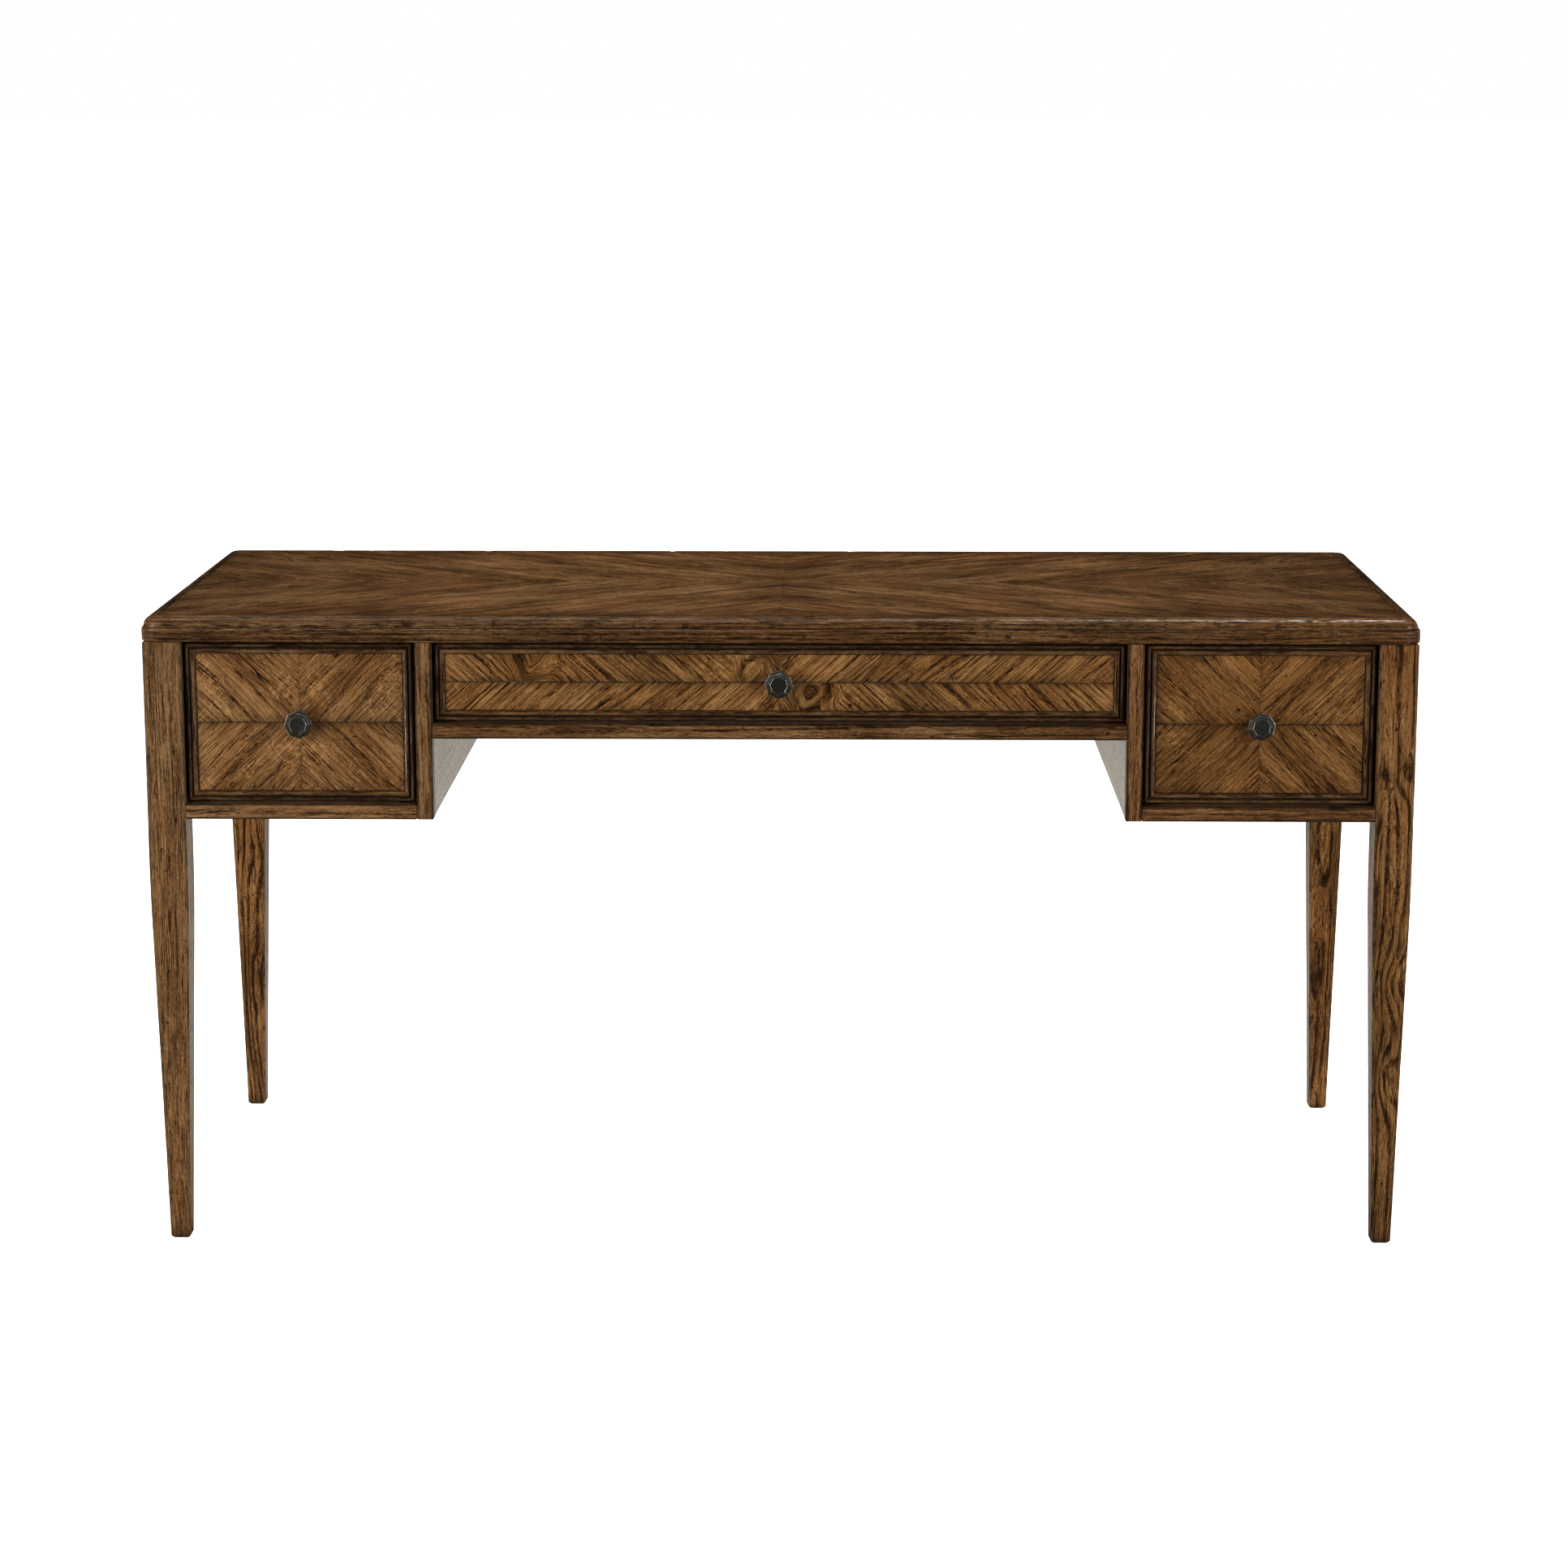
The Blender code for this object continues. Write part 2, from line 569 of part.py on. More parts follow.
def make_guides(drawer, low_x, high_x, rail_top, wall_low_x, wall_high_x):
    """What carries and limits one drawer: two runners, a kicker over it and a stop on the kicker."""
    make_runner(drawer + "_runner_left", wall_low_x + GAP, low_x + BOX_INSET, rail_top)
    make_runner(drawer + "_runner_right", wall_high_x - GAP, high_x - BOX_INSET, rail_top)
    middle = (low_x + high_x) / 2
    kicker_front = BEHIND_FRONT + TOP_RAIL_DEPTH + GAP
    low = (middle - KICKER_WIDTH / 2, kicker_front, KICKER_BOTTOM)
    high = (middle + KICKER_WIDTH / 2, BACK_INNER - GAP, UNDERSIDE - GAP)
    box(drawer + "_kicker", low, high, DRAWER_WOOD)
    stop_back = BEHIND_FRONT + BOX_LENGTH - BACK_THICKNESS - TRAVEL - GAP
    low = (middle - KICKER_WIDTH / 2, stop_back - STOP_LENGTH, KICKER_BOTTOM - GAP - STOP_DROP)
    high = (middle + KICKER_WIDTH / 2, stop_back, KICKER_BOTTOM - GAP)
    box(drawer + "_stop", low, high, DRAWER_WOOD)


def make_drawers():
    """Each drawer, from the low and high x of its opening and of the walls that carry its runners."""
    openings = (
        ("left_drawer", -LEG_INNER_X, -STILE_OUTER, SIDE_RAIL_TOP, -LEG_INNER_X, -KNEEHOLE_OUTER),
        ("centre_drawer", -STILE_INNER, STILE_INNER, CENTRE_RAIL_TOP, -KNEEHOLE_INNER, KNEEHOLE_INNER),
        ("right_drawer", STILE_OUTER, LEG_INNER_X, SIDE_RAIL_TOP, KNEEHOLE_OUTER, LEG_INNER_X),
    )
    for drawer, low_x, high_x, rail_top, wall_low_x, wall_high_x in openings:
        make_drawer(drawer, low_x, high_x, rail_top)
        make_guides(drawer, low_x, high_x, rail_top, wall_low_x, wall_high_x)


SIDES = (("left", -1), ("right", 1))
clear_scene()
DESK = new_collection("writing_desk")
CUTTERS = new_collection("cutters")
make_top()
make_legs()
make_front_frame()
make_sides_and_back()
make_drawers()
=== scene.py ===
import math
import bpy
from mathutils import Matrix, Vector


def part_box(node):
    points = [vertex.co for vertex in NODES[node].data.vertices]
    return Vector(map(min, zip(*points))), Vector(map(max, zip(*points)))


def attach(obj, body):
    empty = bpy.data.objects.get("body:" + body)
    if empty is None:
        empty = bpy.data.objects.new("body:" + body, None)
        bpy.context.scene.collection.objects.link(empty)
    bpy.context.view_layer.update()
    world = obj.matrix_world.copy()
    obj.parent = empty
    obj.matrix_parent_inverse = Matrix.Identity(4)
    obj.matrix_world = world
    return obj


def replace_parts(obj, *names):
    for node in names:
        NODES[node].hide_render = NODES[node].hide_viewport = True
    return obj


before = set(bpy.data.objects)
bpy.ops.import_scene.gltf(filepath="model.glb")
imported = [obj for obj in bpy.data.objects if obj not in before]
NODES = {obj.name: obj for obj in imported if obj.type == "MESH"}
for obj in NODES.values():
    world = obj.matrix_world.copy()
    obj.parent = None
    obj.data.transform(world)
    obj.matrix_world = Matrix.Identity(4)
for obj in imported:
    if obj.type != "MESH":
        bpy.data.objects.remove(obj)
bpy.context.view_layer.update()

import zlib

import bmesh
import bpy
import numpy as np
from mathutils import Vector

# -------- camera and lights

CAMERA_PLACE = (0.067, -4.494, 1.397)
CAMERA_PITCH = 11.12  # degrees below level
CAMERA_TURN = 0.836  # degrees to the left
LENS = 81.84  # mm, on a sensor of SENSOR mm
SENSOR = 36.0
LIGHT_COLOUR = (1.0, 0.985, 0.96)


def make_camera():
    data = bpy.data.cameras.new("camera")
    data.sensor_width = SENSOR
    data.lens = LENS
    data.clip_end = 500.0
    camera = bpy.data.objects.new("camera", data)
    camera.location = CAMERA_PLACE
    camera.rotation_euler = (math.radians(90 - CAMERA_PITCH), 0.0, math.radians(CAMERA_TURN))
    bpy.context.scene.collection.objects.link(camera)
    bpy.context.scene.camera = camera


def area_light(name, place, target, size, power):
    data = bpy.data.lights.new(name, "AREA")
    data.shape = "RECTANGLE"
    data.size, data.size_y = size
    data.energy = power
    data.color = LIGHT_COLOUR
    light = bpy.data.objects.new(name, data)
    light.location = place
    light.visible_camera = False
    light.rotation_euler = (Vector(target) - Vector(place)).to_track_quat("-Z", "Y").to_euler()
    bpy.context.scene.collection.objects.link(light)


def make_lights():
    area_light("side_left", (-2.9, -2.4, 1.5), (-0.2, 0, 0.55), (1.6, 2.0), 95)
    area_light("side_right", (2.9, -2.4, 1.5), (0.2, 0, 0.55), (1.6, 2.0), 75)
    area_light("low_left", (-2.3, -2.0, 0.12), (-0.3, -0.3, 0.6), (0.8, 0.2), 16)
    area_light("low_right", (2.3, -2.0, 0.12), (0.3, -0.3, 0.6), (0.8, 0.2), 16)
    area_light("overhead", (0, 0.0, 2.7), (0, 0, 0.7), (2.4, 0.8), 60)


# -------- node trees


class Graph:
    """Short names for building one node tree. A value is a number, a tuple or another node's output."""

    def __init__(self, tree):
        self.tree = tree

    def add(self, kind, **settings):
        node = self.tree.nodes.new(("" if kind.startswith("Node") else "ShaderNode") + kind)
        for name, value in settings.items():
            setattr(node, name, value)
        return node

    def feed(self, socket, value):
        if isinstance(value, bpy.types.NodeSocket):
            self.tree.links.new(value, socket)
        else:
            socket.default_value = value

    def give(self, node, **values):
        """Feed sockets by name, with _ in the place of a space."""
        for name, value in values.items():
            self.feed(node.inputs[name.replace("_", " ")], value)
        return node

    def fed(self, node, *values):
        for socket, value in zip(node.inputs, values):
            self.feed(socket, value)
        return node.outputs

    def math(self, operation, *values, clamp=False):
        return self.fed(self.add("Math", operation=operation, use_clamp=clamp), *values)[0]

    def plus(self, a, b):
        return self.math("ADD", a, b)

    def minus(self, a, b):
        return self.math("SUBTRACT", a, b)

    def times(self, a, b):
        return self.math("MULTIPLY", a, b)

    def squared(self, value):
        return self.math("POWER", value, 2.0)

    def about_half(self, value, weight):
        """A pattern that runs from 0 to 1, as a signed one of this weight."""
        return self.times(self.minus(value, 0.5), weight)

    def layered(self, value, *layers):
        """A value with each (pattern, weight) added to it."""
        for pattern, weight in layers:
            value = self.plus(value, self.times(pattern, weight))
        return value

    def vector(self, operation, *values):
        return self.fed(self.add("VectorMath", operation=operation), *values)[0]

    def scaled(self, vector, scale):
        return self.vector("MULTIPLY", vector, scale)

    def split(self, vector):
        return self.fed(self.add("SeparateXYZ"), vector)

    def joined(self, *values):
        return self.fed(self.add("CombineXYZ"), *values)[0]

    def channels(self, colour):
        return self.fed(self.add("SeparateColor"), colour)

    def noise(self, vector, scale=(1, 1, 1), detail=2.0, roughness=0.5, distortion=0.0, output=0):
        node = self.give(self.add("TexNoise"), Vector=self.scaled(vector, scale), Scale=1.0, Detail=detail,
                         Roughness=roughness, Distortion=distortion)
        return node.outputs[output]

    def cells(self, vector, feature="F1"):
        return self.give(self.add("TexVoronoi", feature=feature), Vector=vector, Scale=1.0).outputs

    def ramp(self, value, low, high, start=0.0, end=1.0, smooth=True):
        node = self.add("MapRange", interpolation_type="SMOOTHSTEP" if smooth else "LINEAR")
        return self.give(node, Value=value, From_Min=low, From_Max=high, To_Min=start, To_Max=end).outputs[0]

    def mix(self, factor, a, b, blend="MIX"):
        node = self.add("Mix", data_type="RGBA", blend_type=blend)
        self.feed(node.inputs[0], factor)
        for socket, value in ((node.inputs[6], a), (node.inputs[7], b)):
            self.feed(socket, (*value, 1.0) if isinstance(value, tuple) else value)
        return node.outputs[2]

    def attribute(self, name, vector=False):
        node = self.add("Attribute", attribute_name=name)
        return node.outputs["Vector" if vector else "Fac"]

    def relief(self, height, distance):
        return self.give(self.add("Bump"), Strength=1.0, Distance=distance, Height=height).outputs[0]


def new_material(name):
    """A new material, the graph of its tree and its shader."""
    made = bpy.data.materials.new(name)
    made.use_nodes = True
    return made, Graph(made.node_tree), made.node_tree.nodes["Principled BSDF"]


# -------- floor and world

FLOOR_SIZE = 150.0
FLOOR_HEIGHT = -0.0005
# Painted shade and painted light: the floor's colour is dark in front of the desk, and behind it the floor
# also glows; camera rays see it all white
FLOOR_SHADE_TO_GLOW = (-0.5, 0.3)  # the floor is dim in front of the desk and bright behind it
DIM_FLOOR = (0.22, 0.22, 0.22)
PALE_FLOOR = (0.90, 0.90, 0.895)
FLOOR_GLOW = 0.72  # the lit sweep behind the desk, as the desk's polished faces see it
GLOW_COLOUR = (0.98, 1.0, 0.89)
SEEN_COLOUR = (1.0, 1.0, 0.97)
WORLD_DIM = 0.015  # how bright the world is for all but the camera


def floor_material():
    made, g, shader = new_material("pale_floor")
    place = g.add("NewGeometry").outputs["Position"]
    behind = g.ramp(g.split(place)[1], *FLOOR_SHADE_TO_GLOW)
    seen = g.add("LightPath").outputs["Is Camera Ray"]
    # Painted shade in front of the desk and a painted glow behind it; camera rays see the floor white
    g.give(shader, Base_Color=g.mix(behind, DIM_FLOOR, PALE_FLOOR), Roughness=0.9, Specular_IOR_Level=0.0,
           Emission_Color=g.mix(seen, GLOW_COLOUR, SEEN_COLOUR),
           Emission_Strength=g.plus(seen, g.times(behind, FLOOR_GLOW)))
    return made


def make_floor():
    bm = bmesh.new()
    bmesh.ops.create_grid(bm, x_segments=1, y_segments=1, size=FLOOR_SIZE)
    mesh = bpy.data.meshes.new("floor")
    bm.to_mesh(mesh)
    bm.free()
    mesh.materials.append(floor_material())
    floor = bpy.data.objects.new("floor", mesh)
    floor.location.z = FLOOR_HEIGHT
    bpy.context.scene.collection.objects.link(floor)


def make_world():
    world = bpy.data.worlds.new("studio")
    bpy.context.scene.world = world
    world.use_nodes = True
    g = Graph(world.node_tree)
    shader = world.node_tree.nodes["Background"]
    seen = g.add("LightPath").outputs["Is Camera Ray"]
    g.give(shader, Strength=g.ramp(seen, 0, 1, WORLD_DIM, 1.0), Color=(1.0, 1.0, 1.0, 1.0))


# -------- the figure of oak

# How strong each part of the figure is, where a material doesn't say.
FIGURE_INPUTS = {"Flecks": 0.3, "Wisps": 0.0, "Wander": 1.0, "Rings": 0.2, "Knots": 0.0, "Fine": 1.0,
                 "Broad": 1.0}
FIGURE_OUTPUTS = ("Shade", "Warmth", "Pores", "Height")
KNOT_CELLS = (8, 13, 13)  # cells to the metre, each with at most one knot
KNOT_REACH = 0.018
KNOT_CORE = 0.0035
RING_WIDTH = 0.0068


def figure_tree():
    """The node group with its sockets and nothing in it yet."""
    tree = bpy.data.node_groups.new("oak_figure", "ShaderNodeTree")
    tree.interface.new_socket("Grain", in_out="INPUT", socket_type="NodeSocketVector")
    for name, start in FIGURE_INPUTS.items():
        socket = tree.interface.new_socket(name, in_out="INPUT", socket_type="NodeSocketFloat")
        socket.default_value = start
    for name in FIGURE_OUTPUTS:
        tree.interface.new_socket(name, in_out="OUTPUT", socket_type="NodeSocketFloat")
    return tree


def oak_group():
    """Figure of stained oak from a point in the board: x along the grain, y and z across it, in metres."""
    tree = figure_tree()
    g = Graph(tree)
    given = g.add("NodeGroupInput").outputs
    point = wandering(g, given["Grain"], given["Wander"])
    point, knot, core = round_knots(g, point, given["Knots"])
    early = early_wood(g, point, knot)
    fibre = g.noise(point, (34, 850, 850), detail=3.0, roughness=0.7)
    pores = pore_dashes(g, point, early)
    fleck = g.times(ray_flecks(g, point), given["Flecks"])
    wisps = g.times(pale_wisps(g, point), given["Wisps"])
    dents, cracks = dent_marks(g, point), crack_marks(g, point)
    fine = g.times(fine_figure(g, point, early, fibre, pores), given["Fine"])
    shade = g.plus(fine, g.times(broad_figure(g, point), given["Broad"]))
    shade = g.minus(shade, g.times(early, given["Rings"]))
    shade = g.layered(shade, (fleck, 0.24), (wisps, 0.4), (core, -0.5), (dents, -0.6), (cracks, -0.7))
    shade = g.plus(shade, 0.07)
    height = g.layered(g.times(fibre, 0.25), (pores, -0.55), (dents, -1.6), (cracks, -1.2), (fleck, 0.10))
    warmth = g.noise(point, (3, 12, 12), detail=2.0)
    out = g.add("NodeGroupOutput")
    for name, value in zip(FIGURE_OUTPUTS, (shade, warmth, pores, height)):
        g.feed(out.inputs[name], value)
    return tree


def wandering(g, point, amount):
    """The board point moved sideways a little, so that the grain isn't dead straight."""
    slow = g.about_half(g.noise(point, (2.4, 14, 14), detail=2.0), 0.030)
    quick = g.about_half(g.noise(point, (16, 70, 70), detail=1.0), 0.0035)
    shift = g.plus(g.times(slow, amount), quick)
    return g.vector("ADD", point, g.joined(0.0, shift, g.times(shift, -0.7)))


def round_knots(g, point, amount):
    """The board point, bent round a few knots, with each knot's swell and its dark heart."""
    scaled = g.scaled(point, KNOT_CELLS)
    cells = g.cells(scaled)
    amount = g.times(g.ramp(g.channels(cells["Color"])[0], 0.58, 0.62), amount)
    away = g.split(g.vector("DIVIDE", g.vector("SUBTRACT", scaled, cells["Position"]), KNOT_CELLS))
    square = g.plus(g.squared(g.times(away[0], 0.55)), g.squared(away[1]))
    swell, core = (g.times(g.math("EXPONENT", g.math("DIVIDE", square, -(reach**2))), amount)
                   for reach in (KNOT_REACH, KNOT_CORE))
    bend = g.times(g.times(away[1], swell), -0.75)
    return g.vector("ADD", point, g.joined(0.0, bend)), swell, core


def early_wood(g, point, knot):
    """The porous inner part of each growth ring, about the heart at y = z = 0 and round its knots."""
    across = g.split(point)[1:]
    radius = g.math("SQRT", g.plus(*(g.squared(place) for place in across)))
    uneven = g.noise(point, (1.5, 45, 45), detail=1.0)
    rings = g.plus(g.math("DIVIDE", radius, RING_WIDTH), g.times(uneven, 2.4))
    turn = g.math("FRACT", g.plus(rings, g.times(knot, 2.2)))
    broken = g.ramp(g.noise(point, (30, 150, 150), detail=2.0), 0.35, 0.60, 0.35, 1.0)
    return g.times(g.times(g.ramp(turn, 0.0, 0.12), g.ramp(turn, 0.62, 0.18)), broken)


def fine_figure(g, point, early, fibre, pores):
    """Fibres and grit, with dark lines and two sizes of pore."""
    lines = g.ramp(g.noise(point, (8, 560, 560), detail=2.0, roughness=0.65), 0.53, 0.63)
    grit = g.noise(point, (280, 1200, 1200), detail=2.0, roughness=0.7)
    small_pores = pore_dashes(g, g.scaled(point, (1.9, 1.7, 1.7)), early)
    fine = g.plus(g.about_half(fibre, 1.4), g.about_half(grit, 0.8))
    return g.layered(fine, (lines, -0.34), (pores, -0.42), (small_pores, -0.36))


def broad_figure(g, point):
    """Slow changes of shade, in bands along the grain and in clouds."""
    band = g.noise(point, (3.5, 55, 55), detail=2.0, roughness=0.5)
    cloud = g.noise(point, (7, 17, 17), detail=3.0, roughness=0.6)
    return g.plus(g.about_half(band, 0.45), g.about_half(cloud, 0.75))


def pore_dashes(g, point, early):
    """Short dark dashes, closer together in the early wood."""
    field = g.noise(point, (58, 700, 700), detail=1.0)
    level = g.minus(0.655, g.times(early, 0.10))
    return g.ramp(field, level, g.plus(level, 0.07))


def ray_flecks(g, point):
    """Pale wavering lines across the grain, in patches."""
    line = g.noise(point, (105, 32, 105), detail=1.5, distortion=1.1)
    ridge = g.math("ABSOLUTE", g.minus(line, 0.5))
    patch = g.noise(point, (13, 17, 17), detail=2.0)
    return g.times(g.ramp(ridge, 0.050, 0.018), g.ramp(patch, 0.50, 0.60))


def pale_wisps(g, point):
    """Pores that have lost their stain, as pale dashes in patches."""
    dash = g.noise(point, (26, 420, 420), detail=3.0, roughness=0.7)
    patch = g.noise(point, (5, 18, 18), detail=2.0)
    return g.times(g.ramp(dash, 0.58, 0.68), g.ramp(patch, 0.50, 0.66))


def dent_marks(g, point):
    """A few round worm holes and dents of 1 to 3 mm."""
    cells = g.cells(g.scaled(point, (34, 48, 48)))
    drawn = g.channels(cells["Color"])
    size = g.plus(0.02, g.times(drawn[1], 0.035))
    spot = g.ramp(cells["Distance"], g.times(size, 2.0), size)
    return g.times(g.ramp(drawn[0], 0.84, 0.88), spot)


def crack_marks(g, point):
    """A few short forked cracks."""
    wobble = g.scaled(g.noise(point, (200, 300, 300), output="Color"), (0.7, 0.7, 0.7))
    bent = g.vector("ADD", g.scaled(point, (110, 190, 190)), wobble)
    gap = g.cells(bent, "DISTANCE_TO_EDGE")["Distance"]
    place = g.noise(point, (55, 75, 75), detail=1.0)
    return g.times(g.ramp(gap, 0.07, 0.02), g.ramp(place, 0.70, 0.74))


# -------- materials

# Colour of dirt, and of the painted shade on the frame's edges round the drawers
GRIME_AND_SHADE = (0.0065, 0.0042, 0.0026)
RUBBED_WOOD = (0.32, 0.19, 0.085)
OAK_RELIEF = 0.0006


def stained(g, figure, colours):
    """The wood's own colour, from its figure, the piece's tone and a slow change of warmth."""
    dark, middle, light = colours
    level = g.plus(g.plus(figure["Shade"], 0.5), g.attribute("tone"))
    low = g.mix(g.ramp(level, 0.0, 0.52, smooth=False), dark, middle)
    colour = g.mix(g.ramp(level, 0.48, 1.0, smooth=False), low, light)
    redder = g.mix(1.0, colour, (1.06, 0.96, 0.89), "MULTIPLY")
    return g.mix(g.ramp(figure["Warmth"], 0.35, 0.65), colour, redder)


def rubbed_lacquer(g, place, polish):
    """Where the lacquer shines: in streaks and patches, and most of all where wear has rubbed it."""
    streaks = g.ramp(g.noise(place, (75, 420, 420), detail=3.0, roughness=0.65), 0.40, 0.62)
    patches = g.ramp(g.noise(place, (3, 14, 14), detail=2.0), 0.38, 0.62, 0.45, 1.0)
    return g.times(g.times(streaks, patches), g.math("ADD", g.attribute("wear"), polish, clamp=True))


def oak_material(name, colours, point=None, rough=0.40, shine=1.0, polish=0.10, **figured):
    """Stained oak in dark, middle and light colours. `point` builds the board point where no attribute
    carries it. `polish` is the share of the shine where nothing has been worn, and 1 is an even coat."""
    made, g, shader = new_material(name)
    group = g.add("Group", node_tree=OAK_FIGURE)
    figure = group.outputs
    place = point(g) if point else g.attribute("grain", vector=True)
    g.feed(group.inputs["Grain"], place)
    for part, value in figured.items():
        group.inputs[part.capitalize()].default_value = value
    breakup = g.noise(place, (60, 260, 260), detail=2.0)
    # Darkening from the dirt attribute: real dirt in grooves, seams and nicks, and painted shade on the
    # frame's edges round the drawers
    dirt_and_shade = g.times(g.attribute("dirt_and_shade"), g.ramp(breakup, 0.25, 0.60, 0.55, 1.0))
    wear = g.times(g.attribute("wear"), g.ramp(breakup, 0.42, 0.62))
    colour = g.mix(dirt_and_shade, stained(g, figure, colours), GRIME_AND_SHADE)
    roughness = g.minus(g.plus(rough, g.times(figure["Pores"], 0.40)), g.times(wear, 0.14))
    g.give(shader, Base_Color=g.mix(g.times(wear, 0.32), colour, RUBBED_WOOD),
           Roughness=g.plus(roughness, g.times(dirt_and_shade, 0.15)), Specular_IOR_Level=0.05,
           Normal=g.relief(figure["Height"], OAK_RELIEF))
    if polish < 1:
        clean = g.times(rubbed_lacquer(g, place, polish), g.minus(1.0, dirt_and_shade))
        g.give(shader, Coat_Weight=g.times(clean, shine), Coat_Roughness=0.17)
    else:
        g.give(shader, Coat_Weight=0.5 * shine, Coat_Roughness=0.28)
    return made


def board_point(along, shift):
    """A CAD node's place, in metres, with the axis `along` turned to be the grain's."""
    order = {"X": (0, 1, 2), "Y": (1, 0, 2)}[along]

    def build(g):
        parts = g.split(g.add("TexCoord").outputs["Object"])
        return g.vector("ADD", g.joined(*(parts[axis] for axis in order)), shift)

    return build


def bronze_material():
    made, g, shader = new_material("knob_bronze")
    point = g.attribute("grain", vector=True)
    mottle = g.noise(point, (260, 260, 260), detail=3.0)
    colour = g.mix(g.ramp(mottle, 0.35, 0.7), (0.024, 0.024, 0.021), (0.048, 0.047, 0.040))
    colour = g.mix(g.times(g.attribute("dirt_and_shade"), 0.6), colour, (0.020, 0.018, 0.015))
    scratch = g.noise(point, (900, 900, 900), detail=2.0)
    wear = g.times(g.attribute("wear"), g.ramp(scratch, 0.35, 0.6, 0.35, 1.0))
    dull = g.ramp(mottle, 0.3, 0.7, 0.60, 0.48)
    g.give(shader, Base_Color=g.mix(g.times(wear, 0.85), colour, (0.30, 0.285, 0.24)), Metallic=1.0,
           Roughness=g.minus(dull, g.times(wear, 0.26)), Normal=g.relief(scratch, 0.0001))
    return made


def steel_material():
    made, g, shader = new_material("screw_steel")
    mottle = g.noise(g.add("TexCoord").outputs["Object"], (700, 700, 700), detail=3.0)
    g.give(shader, Base_Color=g.mix(mottle, (0.34, 0.33, 0.30), (0.60, 0.58, 0.54)), Metallic=1.0,
           Roughness=g.ramp(mottle, 0.3, 0.7, 0.28, 0.48))
    return made


# -------- mesh tools


def seeded(name):
    return np.random.default_rng(zlib.crc32(name.encode()))


def wander_noise(rng, places, spacing):
    """Smooth noise from 0 to 1 at the given places, with a new value every `spacing`."""
    knots = np.arange(places.min() - spacing, places.max() + 2 * spacing, spacing)
    return np.interp(places, knots + rng.uniform(-0.3, 0.3, len(knots)) * spacing, rng.random(len(knots)))


def nick_depth(rng, places, spacing, share):
    """0 almost everywhere, rising to 1 at a few places: a `share` of the knots that lie `spacing` apart."""
    raw = wander_noise(rng, places, spacing)
    return np.clip((raw - (1 - share)) / share, 0, 1) ** 1.5


def bell(count, middle, reach):
    """A weight for each point of a profile: 1 at `middle`, falling off over `reach` points."""
    return np.exp(-(((np.arange(count) - middle) / reach) ** 2))


def add_attributes(mesh, grain, dirt_and_shade, wear, tone):
    count = len(mesh.vertices)
    board = mesh.attributes.new("grain", "FLOAT_VECTOR", "POINT")
    board.data.foreach_set("vector", grain.astype(np.float32).ravel())
    for name, values in (("dirt_and_shade", dirt_and_shade), ("wear", wear), ("tone", tone)):
        values = np.broadcast_to(values, count)
        mesh.attributes.new(name, "FLOAT", "POINT").data.foreach_set("value", values.astype(np.float32))


def face_outward(mesh):
    bm = bmesh.new()
    bm.from_mesh(mesh)
    bmesh.ops.recalc_face_normals(bm, faces=bm.faces)
    bm.to_mesh(mesh)
    bm.free()


def place_piece(name, mesh, body, material, smooth=35):
    mesh.materials.append(material)
    mesh.shade_smooth()
    mesh.set_sharp_from_angle(angle=math.radians(smooth))
    obj = bpy.data.objects.new(name, mesh)
    bpy.context.scene.collection.objects.link(obj)
    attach(obj, body)
    return obj


def grid_object(name, rings, body, material, grain, dirt_and_shade, wear, tone=0.0, smooth=35):
    """A closed body from rings of points (stations, points round, 3), capped at both ends."""
    stations, count = rings.shape[:2]
    index = np.arange(stations * count).reshape(stations, count)
    nxt = np.roll(index, -1, axis=1)
    quads = np.stack([index[:-1], nxt[:-1], nxt[1:], index[1:]], axis=-1).reshape(-1, 4)
    faces = quads.tolist() + [index[0][::-1].tolist(), index[-1].tolist()]
    mesh = bpy.data.meshes.new(name)
    mesh.from_pydata(rings.reshape(-1, 3).tolist(), [], faces)
    add_attributes(mesh, grain.reshape(-1, 3), dirt_and_shade.reshape(-1), wear.reshape(-1), tone)
    face_outward(mesh)
    return place_piece(name, mesh, body, material, smooth)


def box_piece(name, low, high, body, material, ease=0.0005):
    """A plain core with eased edges, carrying the board attributes."""
    bm = bmesh.new()
    bmesh.ops.create_cube(bm, size=1.0)
    bmesh.ops.scale(bm, vec=high - low, verts=bm.verts)
    bmesh.ops.translate(bm, vec=(low + high) / 2, verts=bm.verts)
    bmesh.ops.bevel(bm, geom=list(bm.edges), offset=ease, segments=2, affect="EDGES", profile=0.5)
    mesh = bpy.data.meshes.new(name)
    bm.to_mesh(mesh)
    bm.free()
    points = np.array([vert.co for vert in mesh.vertices])
    add_attributes(mesh, points + 0.1, np.zeros(len(points)), np.zeros(len(points)), 0.0)
    return place_piece(name, mesh, body, material)


# -------- worn boards: legs, rails and stiles

# The signs of a board's four corners, going round its section, and where each corner's arc starts.
CORNERS = ((1, 1, 0.0), (-1, 1, 0.5), (-1, -1, 1.0), (1, -1, 1.5))
CORNER_STEPS = 3
CORNER_POINTS = CORNER_STEPS + 3  # round one corner and along the side after it
EDGE_ZONE = 0.0022  # how far dirt reaches in from a worn edge
BOARD_SPACING = 0.004
TAPER_TOP = 0.480
TAPER_BLEND = 0.080
FOOT_CHAMFER = 0.0030
FOOT_GRIME = (0.8, 0.018)  # how strong it is at the floor, and how high it reaches


